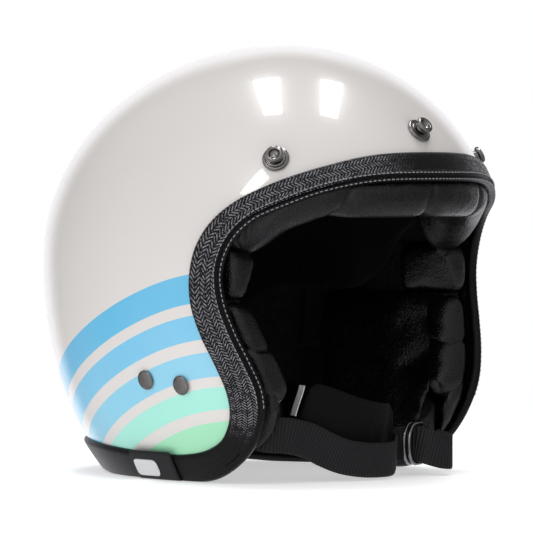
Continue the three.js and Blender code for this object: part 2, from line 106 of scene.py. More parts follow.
def level(p, form=SHELL):
    """Below zero inside the form, above it outside."""
    width, rear, front, dome = form
    x, y, z = np.moveaxis(np.asarray(p, float), -1, 0)
    plan = (np.abs(x) / width) ** PLAN_POWER + (np.abs(y) / np.where(y < 0, front, rear)) ** PLAN_POWER
    rise = z - EQUATOR
    over = np.where(rise > dome, rise / dome - 1, 0)
    return plan - fullness(z, dome) ** PLAN_POWER + over


def section(form, angle, z):
    width, rear, front, dome = form
    s = fullness(z, dome)
    c, n = np.cos(angle), np.sin(angle)
    root = 2 / PLAN_POWER
    x = width * s * np.sign(c) * np.abs(c) ** root
    y = np.where(n < 0, front, rear) * s * np.sign(n) * np.abs(n) ** root
    return np.stack(np.broadcast_arrays(x, y, z), -1)


def side_x(form, y, z):
    width, rear, front, dome = form
    s = fullness(z, dome)
    along = np.minimum(1, np.abs(y) / (np.where(y < 0, front, rear) * s))
    return width * s * (1 - along ** PLAN_POWER) ** (1 / PLAN_POWER)


def front_y(x, z):
    width, _, front, dome = SHELL
    s = fullness(z, dome)
    across = np.minimum(1, np.abs(x) / (width * s))
    return -front * s * (1 - across ** PLAN_POWER) ** (1 / PLAN_POWER)


PROBE = 0.02  # half the step that a slope is measured over
SETTLE_ROUNDS, CAST_ROUNDS, CAST_REACH = 12, 40, 300.0


def gradient(p, form=SHELL):
    step = PROBE * np.eye(3)
    g = np.stack([level(p + step[i], form) - level(p - step[i], form) for i in range(3)], -1)
    return g / (2 * PROBE)


def normal(p, form=SHELL):
    g = gradient(p, form)
    return g / np.linalg.norm(g, axis=-1, keepdims=True)


def settle(p):
    """Moves points on to the shell along its slope."""
    for _ in range(SETTLE_ROUNDS):
        g = gradient(p)
        p = p - g * (level(p) / (g ** 2).sum(-1))[..., None]
    return p


def cast(centre, direction, form):
    """Where rays from inside the form meet it."""
    low, high = np.zeros(direction.shape[:-1]), np.full(direction.shape[:-1], CAST_REACH)
    for _ in range(CAST_ROUNDS):
        mid = (low + high) / 2
        outside = level(centre + direction * mid[..., None], form) > 0
        low, high = np.where(outside, low, mid), np.where(outside, mid, high)
    return centre + direction * low[..., None]


# ---------------------------------------------------------------- curves

FINE, ROUTE_FINE = 6000, 3000  # samples of a line and of a strap's route before they are spaced evenly


def unit(vectors):
    return vectors / np.linalg.norm(vectors, axis=-1)[..., None]


def catmull(points, t):
    """A centripetal spline through points, at places t from 0 to their count less one."""
    pts = np.array(points, float)
    ends = np.vstack([2 * pts[0] - pts[1], pts, 2 * pts[-1] - pts[-2]])
    k = np.clip(np.floor(t).astype(int), 0, len(pts) - 2)
    u = (t - k)[:, None]
    a, b, c, d = (ends[k + i] for i in range(4))
    gaps = [np.maximum(1e-4, np.linalg.norm((q - p)[:, :3], axis=1) ** 0.5)[:, None]
            for p, q in ((a, b), (b, c), (c, d))]
    out = ((b - a) / gaps[0] - (c - a) / (gaps[0] + gaps[1]) + (c - b) / gaps[1]) * gaps[1]
    into = ((c - b) / gaps[1] - (d - b) / (gaps[1] + gaps[2]) + (d - c) / gaps[2]) * gaps[1]
    return b + out * u + (-3 * b + 3 * c - 2 * out - into) * u ** 2 + (2 * b - 2 * c + out + into) * u ** 3


def lengths(points):
    steps = np.linalg.norm(np.diff(points, axis=0), axis=1)
    return np.r_[0, np.cumsum(steps)]


def along_at(at, run, values):
    """Each column of values, known at lengths run, taken at lengths at."""
    return np.stack([np.interp(at, run, column) for column in values.T], -1)


def resample(points, count):
    run = lengths(points)
    return along_at(np.linspace(0, run[-1], count), run, points)


def soften(values, width, ends):
    """A running mean over width samples each way."""
    kernel = np.hanning(2 * width + 1)
    kernel /= kernel.sum()
    return np.apply_along_axis(lambda v: np.convolve(np.pad(v, width, ends), kernel, "valid"), 0, values)


def rim_curve(line, count, form=SHELL):
    """The right half of the curve where a side-view line meets the form, from its front to its rear."""
    flat = catmull(line, np.linspace(0, len(line) - 1, FINE))
    within = np.flatnonzero(level(np.c_[np.zeros(FINE), flat], form) < 0)
    flat = flat[within[0]:within[-1] + 1]
    run = lengths(flat)
    y, z = along_at(run[-1] * np.sin(np.linspace(0, math.pi / 2, FINE)) ** 2, run, flat).T
    x = -side_x(form, y, z)
    x[0] = x[-1] = 0
    return resample(np.c_[x, y, z], count)


def whole(half):
    """A closed ring from its right half."""
    left = half[-2:0:-1] * np.array([-1, 1, 1])
    return np.vstack([half, left])


def loop_spline(points, count):
    """A closed smooth loop through points."""
    pts = np.array(points + points[:3], float)
    return catmull(pts, 1 + np.linspace(0, len(points), count, endpoint=False))


def bend(a, b, c, count):
    """Points round a corner b, from a to c."""
    t = np.linspace(0, 1, count)[:, None]
    return (1 - t) ** 2 * a + 2 * t * (1 - t) * b + t ** 2 * c


def turn_of(count):
    return np.linspace(0, 2 * math.pi, count, endpoint=False)


# ---------------------------------------------------------------- meshes


def to_frame(points):
    return (np.asarray(points, float).reshape(-1, 3) + (0, CENTRE_Y, 0)) * MM


def to_local(places):
    return places / MM - (0, CENTRE_Y, 0)


def read(elements, key):
    """Three numbers for each element of a mesh."""
    found = np.zeros(len(elements) * 3)
    elements.foreach_get(key, found)
    return found.reshape(-1, 3)


def mark_points(data, name, values):
    data.attributes.new(name, "FLOAT", "POINT").data.foreach_set("value", np.asarray(values, np.float32))


def smooth_faces(data):
    data.polygons.foreach_set("use_smooth", [True] * len(data.polygons))


def piece(name, points, faces, body=None, look=None, uv=None):
    """A mesh in the frame. uv is one (u, v) for each point, in mm."""
    data = bpy.data.meshes.new(name)
    data.from_pydata(to_frame(points).tolist(), [], [tuple(map(int, f)) for f in faces])
    if uv is not None:
        layer = data.uv_layers.new(name="length")
        index = np.zeros(len(data.loops), int)
        data.loops.foreach_get("vertex_index", index)
        layer.data.foreach_set("uv", np.asarray(uv, np.float32)[index].ravel())
    data.update()
    smooth_faces(data)
    obj = bpy.data.objects.new(name, data)
    bpy.context.scene.collection.objects.link(obj)
    if look:
        data.materials.append(look)
    if body:
        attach(obj, body)
    return obj


def quads(rows, columns, wrap_rows=False, wrap_columns=False):
    """Faces of a grid whose point (r, c) is number r * columns + c."""
    r = np.arange(rows if wrap_rows else rows - 1)[:, None]
    c = np.arange(columns if wrap_columns else columns - 1)[None, :]
    near, far = r * columns, (r + 1) % rows * columns
    beside = (c + 1) % columns
    stack = np.stack(np.broadcast_arrays(near + c, near + beside, far + beside, far + c), -1)
    return stack.reshape(-1, 4).tolist()


def tube(profiles):
    """Faces of closed profiles, one after another, with flat ends."""
    rows, columns = profiles.shape[:2]
    last = (rows - 1) * columns
    ends = [list(range(columns))[::-1], list(range(last, last + columns))]
    return quads(rows, columns, wrap_columns=True) + ends


def slab_between(top, bottom):
    """Points and faces of a closed slab between two grids, the first of which faces out."""
    rows, columns = top.shape[:2]
    half = rows * columns
    faces = [f[::-1] for f in quads(rows, columns)] + [[half + i for i in f] for f in quads(rows, columns)]
    number = np.arange(half).reshape(rows, columns)
    rim = np.r_[number[0], number[1:, -1], number[-1, -2::-1], number[-2:0:-1, 0]].tolist()
    faces += [[a, b, half + b, half + a] for a, b in zip(rim, rim[1:] + rim[:1])]
    return np.vstack([top.reshape(-1, 3), bottom.reshape(-1, 3)]), faces


# ---------------------------------------------------------------- finishes


class Look:
    """Builds one node material, or the world."""

    def __init__(self, name, library=bpy.data.materials):
        self.made = library.new(name)
        self.made.use_nodes = True
        self.tree = self.made.node_tree
        self.tree.nodes.clear()

    def node(self, kind, inputs=None, **settings):
        made = self.tree.nodes.new("ShaderNode" + kind)
        for key, value in settings.items():
            setattr(made, key, value)
        for key, value in (inputs or {}).items():
            if isinstance(value, bpy.types.NodeSocket):
                self.tree.links.new(value, made.inputs[key])
            else:
                made.inputs[key].default_value = value
        return made

    def math(self, operation, *values):
        return self.node("Math", dict(enumerate(values)), operation=operation).outputs[0]

    def plus(self, total, *values):
        for value in values:
            total = self.math("ADD", total, value)
        return total

    def times(self, product, *values):
        for value in values:
            product = self.math("MULTIPLY", product, value)
        return product

    def wave(self, value, pitch, operation="SINE"):
        return self.math(operation, self.times(value, 2 * math.pi / pitch))

    def vector(self, operation, inputs):
        return self.node("VectorMath", inputs, operation=operation).outputs[0]

    def place(self):
        """Object coordinates in mm."""
        return self.vector("SCALE", {0: self.node("TexCoord").outputs["Object"], "Scale": 1 / MM})

    def axes(self, vector):
        return self.node("SeparateXYZ", {0: vector}).outputs

    def uv(self):
        return self.axes(self.node("UVMap", uv_map="length").outputs[0])[:2]

    def mark(self, name):
        return self.node("Attribute", attribute_name=name).outputs["Fac"]

    def noise(self, vector, scale, detail, roughness=0.5):
        inputs = {"Vector": vector, "Scale": scale, "Detail": detail, "Roughness": roughness}
        return self.node("TexNoise", inputs).outputs[0]

    def cells(self, vector, scale, feature="DISTANCE_TO_EDGE"):
        made = self.node("TexVoronoi", {"Vector": vector, "Scale": scale}, feature=feature)
        return made.outputs["Distance"]

    def ramp(self, value, stops, interpolation="LINEAR"):
        made = self.node("ValToRGB", {0: value})
        elements = made.color_ramp.elements
        made.color_ramp.interpolation = interpolation
        for i, (position, colour) in enumerate(stops):
            element = elements[i] if i < 2 else elements.new(position)
            element.position = position
            element.color = (*colour, 1)
        return made.outputs[0]

    def span(self, value, low, high, out_low=0.0, out_high=1.0, smooth=False):
        inputs = dict(enumerate((value, low, high, out_low, out_high)))
        kind = "SMOOTHSTEP" if smooth else "LINEAR"
        return self.node("MapRange", inputs, interpolation_type=kind).outputs[0]

    def mix(self, share, first, second):
        return self.node("MixRGB", {0: share, 1: first, 2: second}).outputs[0]

    def bump(self, height, distance, strength=1.0):
        inputs = {"Height": height, "Distance": distance * MM, "Strength": strength}
        return self.node("Bump", inputs).outputs[0]

    def show(self, shader, output="OutputMaterial"):
        self.tree.links.new(shader.outputs[0], self.node(output).inputs[0])
        return self.made

    def finish(self, colour, roughness, normal, **others):
        """The finished material. Other inputs go by their own names, with _ for a space."""
        inputs = {"Base Color": colour, "Roughness": roughness, "Normal": normal}
        inputs.update({key.replace("_", " "): value for key, value in others.items()})
        return self.show(self.node("BsdfPrincipled", inputs))


def linear(r, g, b):
    """A colour given as it is seen, 0 to 255, as the shader takes it."""
    return tuple(((v / 255 + 0.055) / 1.055) ** 2.4 if v > 10 else v / 255 / 12.92 for v in (r, g, b))


def toned(colour, share):
    return tuple(share * c for c in colour)


LEATHER_BLACK = (0.0040, 0.0040, 0.0050)
PEBBLE = 1.7
THREAD_GREY = (0.36, 0.36, 0.385)


def leather_look():
    """Pebbled leather with painted shade: darker between the pebbles, in the dips of the folds, and in the
    creases where the mark 'crease' is 1.
    """
    look = Look("grained_leather")
    at = look.place()
    moved = look.vector("ADD", {0: at, 1: look.noise(at, 0.35, 2)})
    pebbles = look.span(look.cells(moved, 1 / PEBBLE), 0.0, 0.34, smooth=True)
    pores = look.noise(at, 0.9, 3)
    folds = look.noise(at, 0.11, 2)
    # unsunk falls from 1 to 0.05 in the creases: it darkens the colour there as painted shade, and roughens it
    unsunk = look.span(look.mark("crease"), 0.1, 0.8, 1.0, 0.05)
    height = look.plus(pebbles, look.times(pores, 0.25), look.times(folds, 6.0))
    # painted shade: the colour follows the height, darker between the pebbles and in the dips of the folds,
    # and darker still in the creases
    shade = look.times(pebbles, look.span(folds, 0.3, 0.7, 0.7, 1.2), unsunk)
    colour = look.ramp(shade, [(0.0, toned(LEATHER_BLACK, 0.15)), (1.0, toned(LEATHER_BLACK, 1.5))])
    roughness = look.span(look.times(look.plus(pebbles, pores), unsunk), 0.2, 1.6, 0.38, 0.25)
    return look.finish(colour, roughness, look.bump(height, 0.1), Specular_IOR_Level=0.5)


CREAM, DUST = (224, 219, 214), (196, 192, 196)
BAND_SLOPE_X, BAND_SLOPE_Y, BAND_SQUARE, BAND_CUBE = 0.30, 0.33, 12.6, -8.0
BAND_FRONT, BAND_REAR, BAND_UNIT = -70.0, 150.0, 100.0
BAND_EDGES = (74.5, 58.5, 51.8, 38.5, 31.4, 18.5, 13.2, 1.4, -4.2)
BAND_COLOURS = ((98, 190, 230), (120, 199, 234), (138, 208, 234), (164, 236, 218), (164, 232, 190))


def paint_look():
    """Cream gloss with bands of blue and green that sweep round the lower sides."""
    look = Look("cream_gloss")
    at = look.place()
    x, y, z = look.axes(at)
    x = look.times(look.math("ABSOLUTE", x), -1.0)
    y = look.plus(y, -CENTRE_Y)
    along = look.math("MAXIMUM", look.math("MINIMUM", y, BAND_REAR), BAND_FRONT)
    along = look.math("DIVIDE", along, BAND_UNIT)
    square = look.times(along, along)
    cube = look.times(square, along)
    height = look.plus(z, look.times(x, BAND_SLOPE_X), look.times(y, BAND_SLOPE_Y),
                       look.times(square, BAND_SQUARE), look.times(cube, BAND_CUBE))
    low, high = BAND_EDGES[-1] - 40, BAND_EDGES[0] + 20
    stops = [(0.0, linear(*BAND_COLOURS[4]))]
    for i, edge in enumerate(reversed(BAND_EDGES)):
        colour = CREAM if i % 2 == 0 else BAND_COLOURS[3 - i // 2]
        stops.append(((edge - low) / (high - low), linear(*colour)))
    colour = look.ramp(look.span(height, low, high), stops, "CONSTANT")
    dust = look.noise(at, 0.02, 4)
    colour = look.mix(look.span(dust, 0.4, 0.75, 0.0, 0.05), colour, (*linear(*DUST), 1))
    peel = look.bump(look.noise(at, 0.45, 2), 0.012, 0.4)
    return look.finish(colour, look.span(dust, 0.3, 0.8, 0.2, 0.28), peel,
                       Coat_Weight=1.0, Coat_Roughness=0.015, Coat_IOR=1.5)


WEAVE_FOLD, WEAVE_BAR, WEAVE_SLANT = 3.3, 2.0, 0.9


def trim_look():
    """Leather embossed with a herringbone where the mark 'weave' is 1, plainly grained elsewhere."""
    look = Look("embossed_leather")
    u, v = look.uv()
    weave_and_painted_light = look.mark("weave_and_painted_light")
    fold = look.math("PINGPONG", v, WEAVE_FOLD)
    bar = look.wave(look.plus(u, look.times(fold, WEAVE_SLANT)), WEAVE_BAR)
    bar = look.span(bar, -0.75, 0.45, smooth=True)
    off = look.math("ABSOLUTE", look.math("SUBTRACT", fold, WEAVE_FOLD / 2))
    bars = look.times(bar, look.span(off, 1.25, WEAVE_FOLD / 2, 1.0, 0.15, smooth=True))
    at = look.place()
    grain = look.noise(at, 1.6, 5, 0.65)
    coarse = look.cells(at, 0.75)
    uneven = look.span(look.noise(at, 0.3, 3), 0.34, 0.6, 0.5, 1.2)
    woven = look.times(bars, weave_and_painted_light, uneven)
    plain = look.plus(look.times(grain, 0.3), look.times(look.span(coarse, 0, 0.3), 0.22))
    # painted glints and shade: the raised bars are coloured bright, sparkling with the grain, and the valleys
    # near black, in place of the light that the embossing catches
    painted_glints = look.times(woven, look.span(grain, 0.4, 0.6, 0.3, 1.4))
    pressed = look.ramp(painted_glints, [(0.0, (0.0007, 0.0007, 0.0009)), (0.4, (0.014, 0.014, 0.016)),
                               (1.0, (0.26, 0.256, 0.275))])
    # painted shade: the plain leather is coloured darker towards the edges of its coarse grain cells
    smooth = look.ramp(look.span(coarse, 0, 0.35),
                       [(0.0, (0.0006, 0.0006, 0.0008)), (1.0, (0.0035, 0.0035, 0.0045))])
    dull = look.times(look.span(painted_glints, 0.0, 0.5, 0.6, 0.2), weave_and_painted_light)
    even = look.times(look.span(grain, 0.3, 0.7, 0.26, 0.36), look.math("SUBTRACT", 1.0, weave_and_painted_light))
    return look.finish(look.mix(weave_and_painted_light, smooth, pressed), look.plus(dull, even),
                       look.bump(look.plus(woven, plain), 0.5), Specular_IOR_Level=0.22)


def cloth_look(name, base, pitch, depth, sheen, ribs=(1.0, 1.0), rough=0.85, crest=0, shine=0.25):
    """Knitted or ribbed cloth, its ribs across u and v of the piece's own length map, with painted shade in
    the knit's hollows. crest is the pitch of broad ribs with painted shade in their valleys and painted
    highlight on their crests."""
    look = Look(name)
    u, v = look.uv()
    fuzz = look.noise(look.place(), 2.4, 4, 0.7)
    across = look.times(look.wave(look.plus(u, look.times(fuzz, 0.25)), pitch), 0.5 * ribs[0])
    knit = look.span(look.plus(across, look.times(look.wave(v, pitch), 0.5 * ribs[1])), -1, 1)
    # painted shade: the colour follows the knit's height, darker in its hollows and lighter on its loops, with
    # random tone from the fuzz
    colour = look.ramp(look.plus(look.times(knit, 0.7), look.times(fuzz, 0.3)),
                       [(0.15, toned(base, 0.4)), (0.85, toned(base, 1.5))])
    if crest:
        # painted shade and highlight: the broad ribs are coloured darker in their valleys and lighter on their
        # crests
        rib = look.span(look.wave(u, crest, "COSINE"), -0.6, 0.9, 0.12, 1.35)
        colour = look.vector("SCALE", {0: colour, "Scale": rib})
    return look.finish(colour, look.span(fuzz, 0.3, 0.7, rough - 0.1, rough + 0.08),
                       look.bump(look.plus(knit, look.times(fuzz, 0.5)), depth),
                       Specular_IOR_Level=shine, Sheen_Weight=sheen, Sheen_Roughness=0.35)


def ribbed_look():
    """Grained leather stitched in fine upright ribs, with painted shade in the valleys between the ribs."""
    look = Look("ribbed_leather")
    at = look.place()
    y, z = look.axes(at)[1:]
    rib = look.span(look.wave(look.plus(y, look.times(z, 0.35)), 2.6), -1, 1)
    grain = look.span(look.cells(at, 0.9), 0.0, 0.3)
    # painted shade: the ribs are coloured near black in their valleys and lighter on their crests
    colour = look.ramp(rib, [(0.0, (0.0012, 0.0012, 0.0014)), (1.0, (0.012, 0.012, 0.014))])
    return look.finish(colour, look.span(grain, 0, 1, 0.5, 0.34),
                       look.bump(look.plus(rib, look.times(grain, 0.35)), 0.5), Specular_IOR_Level=0.42)


def metal_look(name, base, rough):
    look = Look(name)
    at = look.place()
    drawn = look.noise(look.vector("MULTIPLY", {0: at, 1: (1, 1, 6)}), 1.2, 4, 0.6)
    colour = look.ramp(look.noise(at, 0.35, 3), [(0.3, toned(base, 0.72)), (0.7, base)])
    return look.finish(colour, look.span(drawn, 0.3, 0.7, rough * 0.7, rough * 1.3), look.bump(drawn, 0.012),
                       Metallic=1.0)


def foam_look():
    look = Look("bead_foam")
    at = look.place()
    beads = look.cells(at, 0.3, "F1")
    fine = look.noise(at, 1.5, 3)
    # painted shade: each bead is coloured lighter at its middle and darker towards its edge, where it sinks
    colour = look.ramp(beads, [(0.1, (0.008, 0.008, 0.0085)), (0.8, (0.003, 0.003, 0.0035))])
    height = look.plus(look.times(beads, -1.0), look.times(fine, 0.2))
    return look.finish(colour, look.span(fine, 0.3, 0.7, 0.85, 0.97), look.bump(height, 0.5),
                       Specular_IOR_Level=0.15)


def thread_look():
    look = Look("waxed_thread")
    twist = look.noise(look.place(), 2.5, 2)
    colour = look.ramp(twist, [(0.3, toned(THREAD_GREY, 0.6)), (0.7, THREAD_GREY)])
    return look.finish(colour, look.span(twist, 0.3, 0.7, 0.35, 0.55), look.bump(twist, 0.1),
                       Sheen_Weight=0.3, Sheen_Roughness=0.3)


PAINT = paint_look()
TRIM_LEATHER = trim_look()
PAD_LEATHER = leather_look()
LINING = cloth_look("knitted_lining", (0.0022, 0.0022, 0.0026), 1.3, 0.25, sheen=0.02, shine=0.1)
WEBBING = cloth_look("ribbed_webbing", (0.0062, 0.0063, 0.008), 0.6, 0.09, sheen=0.06, ribs=(0.6, 1.4),
                     rough=0.55, crest=RIB_PITCH, shine=0.4)
RIBBED = ribbed_look()
SLEEVE_CLOTH = cloth_look("sleeve_cloth", (0.0038, 0.0038, 0.0045), 0.7, 0.12, sheen=0.03, shine=0.15)
TAPE = cloth_look("folded_tape", (0.008, 0.008, 0.009), 0.5, 0.08, sheen=0.08, rough=0.6, shine=0.4)
WOVEN_LABEL = cloth_look("woven_label", (0.62, 0.6, 0.57), 0.6, 0.08, sheen=0.1)
PATCH = cloth_look("pale_patch", (0.72, 0.72, 0.72), 0.5, 0.08, sheen=0.1, rough=0.7)
STEEL = metal_look("bright_steel", (0.36, 0.36, 0.37), 0.16)
DARK_NICKEL = metal_look("dark_nickel", (0.30, 0.285, 0.275), 0.2)
FOAM = foam_look()
THREAD = thread_look()

# ---------------------------------------------------------------- the trim's two lines, matched

HALF, EDGE_FINE, EVENING = 420, 4000, 9
roll = rim_curve(ROLL_LINE, HALF)
edge_fine = rim_curve(TRIM_LINE, EDGE_FINE)


def matched():
    """For each point of the roll, the nearest point of the trim's outer edge, evened out along it."""
    run = lengths(edge_fine)
    nearest = np.array([run[np.argmin(((edge_fine - p) ** 2).sum(1))] for p in roll])
    nearest[0], nearest[-1] = 0, run[-1]
    nearest = np.maximum.accumulate(soften(nearest, EVENING, "reflect"))
    nearest[0], nearest[-1] = 0, run[-1]
    return along_at(nearest, run, edge_fine)


roll_ring, edge_ring = whole(roll), whole(matched())
RING_COUNT = len(roll_ring)
ring_order = np.roll(np.arange(RING_COUNT), RING_COUNT // 2)
width_ring = np.linalg.norm(edge_ring - roll_ring, axis=1)
run_ring = np.r_[lengths(roll), -lengths(roll)[-2:0:-1]]
normal_ring = normal(roll_ring)
inward_ring = roll_ring - edge_ring
inward_ring -= normal_ring * (inward_ring * normal_ring).sum(1)[:, None]
inward_ring = unit(inward_ring)


def surface_at(distance):
    """Points on the shell at a distance from the roll towards the trim's edge, one for each ring place."""
    share = (np.broadcast_to(distance, width_ring.shape) / width_ring)[:, None]
    return settle(roll_ring + (edge_ring - roll_ring) * share)


def raised(distance, height):
    """Points above the shell at a distance from the roll, and the directions out of it."""
    base = surface_at(distance)
    out = normal(base)
    return base + out * np.broadcast_to(height, RING_COUNT)[:, None], out


def round_roll(walked, rise):
    """Points walked round the roll from its top and raised above it, and the directions out of it."""
    angle = walked / ROLL_RADIUS
    out = inward_ring * math.sin(angle) + normal_ring * math.cos(angle)
    centre = roll_ring - inward_ring * ROLL_RADIUS + normal_ring * ROLL_DROP
    return centre + np.broadcast_to(ROLL_RADIUS + rise, RING_COUNT)[:, None] * out, out


# ---------------------------------------------------------------- shell

RIM_REACH, SHELL_THICK, SHELL_ROWS = 7.0, 4, 130
HEART = np.array([0, 10.0, 100.0])
POLE = unit(np.array([0, 0.55, 0.83]))


def dome_grid(rim, form, rows):
    """A grid over a form from its pole out to a closed rim."""
    out = unit(rim - HEART)
    angle = np.arccos(np.clip(out @ POLE, -1, 1))[None, :, None]
    t = np.linspace(0, 1, rows + 1)[1:, None, None]
    directions = (np.sin((1 - t) * angle) * POLE + np.sin(t * angle) * out[None]) / np.sin(angle)
    return cast(HEART, directions, form), cast(HEART, POLE[None], form)[0]


def dome_solid(name, rim, outer_form, inner_form, rows, look, shape=None, uv=None, inside=None):
    """A thick dome between two forms. shape moves its inner face, which can have a look of its own."""
    outer, top = dome_grid(rim, outer_form, rows)
    inner, under = dome_grid(rim, inner_form, rows)
    if shape:
        inner = shape(inner, inner_form)
    count = rim.shape[0]
    points = np.vstack([outer.reshape(-1, 3), inner.reshape(-1, 3), top, under])
    half, last = rows * count, (rows - 1) * count
    faces = quads(rows, count, wrap_columns=True)
    faces += [[half + i for i in f][::-1] for f in faces]
    for c in range(count):
        n = (c + 1) % count
        faces.append([last + c, last + n, half + last + n, half + last + c])
        faces.append([2 * half, n, c])
        faces.append([2 * half + 1, half + c, half + n])
    obj = piece(name, points, faces, "shell", look, uv=uv(points) if uv else None)
    if inside:
        obj.data.materials.append(inside)
        inner_faces = [int(min(f) >= half and 2 * half not in f) for f in faces]
        obj.data.polygons.foreach_set("material_index", inner_faces)
    return obj


def make_shell():
    rim = surface_at(RIM_REACH)[::2]
    shell = dome_solid("painted_shell", rim, SHELL, inset(SHELL_THICK), SHELL_ROWS, PAINT, inside=FOAM)
    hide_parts("outer_shell")


# ---------------------------------------------------------------- trim

PROUD, ROLL_RADIUS, ROLL_DROP = 2.7, 2.8, -0.1
SEAM_GAP, FADE = 0.05, 6
GROOVE = [(-2.6, 0.0), (-1.9, 0.15), (-1.3, 0.45), (-0.7, 0.15), (-0.1, -0.9), (0.4, -1.1), (0.9, -0.7),
          (1.5, 0.25), (2.1, 0.5), (2.7, 0.15), (3.3, 0.0)]
BEHIND_ROLL = [(4.5, -4.0), (6.5, -5.2), (9.5, -6.2), (12.5, -6.6), (13.2, -5.8), (12.9, -4.45), (7.7, -4.4),
               (7.15, -4.1), (7.15, -0.1), (7.8, 0.12)]
STITCH_LONG, STITCH_GAP, STITCH_THICK, STITCH_RISE = 2.3, 0.6, 0.3, 0.35
STITCH_BACK, STITCH_AHEAD = 1.3, 2.1  # how far the two rows lie from the top of the roll
STITCH_LOW = 44
STITCH_BOW = np.array([0.15, 0.8, 1.0, 0.8, 0.15])[:, None]


def trim_profile():
    """(kind, place, height) round the leather channel: w is measured from the outer edge, a from the roll's
    tip and r round the roll, where height is how far the seam's ridges and groove rise or sink."""
    profile = [("w", 0.0, 0.1), ("w", 0.05, 0.9), ("w", 0.5, 1.9), ("w", 1.3, 2.45)]
    profile += [("w", place, PROUD) for place in np.linspace(2.4, 12.5, 9)]
    profile += [("r", place, rise) for place, rise in GROOVE]
    profile += [("r", place, 0.0) for place in np.linspace(4.0, math.pi * ROLL_RADIUS, 9)]
    return profile + [("a", place, height) for place, height in BEHIND_ROLL]


def make_trim():
    """The leather channel in two parts. The seam and the weave fade out low down. Where the trim faces
    straight ahead, over the brow, the weave mark is lowered as painted shade, which leaves the leather there
    dark, with faint relief and no painted glints."""
    sewn = np.clip((roll_ring[:, 2] - 38) / 10, 0, 1) * (roll_ring[:, 1] < 0)
    weave_and_painted_light = np.clip((roll_ring[:, 2] - 14) / 22, 0, 1) * (roll_ring[:, 1] < -20)
    # painted shade: the weave mark is lowered where the trim faces straight ahead, which colours the brow
    # front dark
    weave_and_painted_light = weave_and_painted_light * (0.12 + 0.88 * np.clip((np.abs(normal_ring[:, 0]) - 0.1) / 0.22, 0, 1))
    sewn, weave_and_painted_light = soften(sewn, FADE, "wrap"), soften(weave_and_painted_light, FADE, "wrap")
    columns, marks = [], []
    for kind, s, h in trim_profile():
        if kind == "r" and s > 0:
            points = round_roll(s, h * sewn)[0]
        else:
            distance = {"w": width_ring - s, "r": ROLL_RADIUS - s, "a": s}[kind]
            points = raised(distance, PROUD + h * sewn if kind == "r" else h)[0]
        columns.append(points)
        marks.append(weave_and_painted_light * (kind == "w" or (kind == "r" and s < -1.0)))
    grid, marks = np.stack(columns, 1), np.stack(marks, 1)
    steps = np.linalg.norm(np.diff(grid, axis=1), axis=2)
    across = np.c_[np.zeros(RING_COUNT), np.cumsum(steps, axis=1)]
    along = np.broadcast_to(run_ring[:, None], across.shape)
    grid[..., 2] = np.maximum(grid[..., 2], 0.0)
    front = roll_ring[:, 1] < TRIM_SEAM_Y
    face = [i for i in ring_order if front[i]]
    neck = [i for i in range(RING_COUNT) if not front[i]]
    grid = np.concatenate([grid, np.stack([along, across, marks], -1)], -1)

    def end(inside, outside, y):
        """A row where the part is cut at y, between its last row and the next one along."""
        share = (y - roll_ring[inside, 1]) / (roll_ring[outside, 1] - roll_ring[inside, 1])
        row = grid[inside] + (grid[outside] - grid[inside]) * share
        row[:, 3] = grid[inside, :, 3]
        return row[None]

    for name, node, places, other, cut in (
            ("face_edge_leather", "face_trim", face, neck, TRIM_SEAM_Y - SEAM_GAP),
            ("nape_edge_leather", "neck_trim", neck, face, TRIM_SEAM_Y + SEAM_GAP)):
        part = np.concatenate([end(places[0], other[-1], cut), grid[places], end(places[-1], other[0], cut)])
        obj = piece(name, part[..., :3], tube(part), "shell", TRIM_LEATHER, uv=part[..., 3:5].reshape(-1, 2))
        mark_points(obj.data, "weave_and_painted_light", part[..., 5].ravel())
        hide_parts(node)


def thread_run(name, path, lift):
    """A row of short raised stitches along a path with its outward directions."""
    run = lengths(path)
    count = int(run[-1] // (STITCH_LONG + STITCH_GAP))
    turn = turn_of(6)
    across, upward = np.cos(turn)[None, :, None], np.sin(turn)[None, :, None]
    thick = STITCH_THICK * (0.45 + 0.55 * STITCH_BOW[:, None])
    points, faces = [], []
    for k in range(count):
        at = (k + 0.5) * (run[-1] / count) + np.linspace(-STITCH_LONG / 2, STITCH_LONG / 2, len(STITCH_BOW))
        centre = along_at(at, run, path)
        out = unit(along_at(at, run, lift))
        side = np.cross(unit(np.gradient(centre, axis=0)), out)
        middle = centre + out * (STITCH_BOW - 0.55) * STITCH_THICK
        ring = middle[:, None] + side[:, None] * (across * thick) + out[:, None] * (upward * thick)
        start = sum(map(len, points))
        faces += [[start + i for i in f] for f in tube(ring)]
        points.append(ring.reshape(-1, 3))
    piece(name, np.vstack(points), faces, "shell", THREAD)


def make_seam_stitches():
    """Two rows of stitching beside the groove of the face trim."""
    places = [i for i in ring_order if roll_ring[i, 2] > STITCH_LOW and roll_ring[i, 1] < 0]
    rows = raised(ROLL_RADIUS + STITCH_BACK, PROUD + STITCH_RISE), round_roll(STITCH_AHEAD, STITCH_RISE)
    for k, (path, lift) in enumerate(rows):
        thread_run(f"seam_stitches_{k + 1}", path[places], lift[places])


# ---------------------------------------------------------------- tag


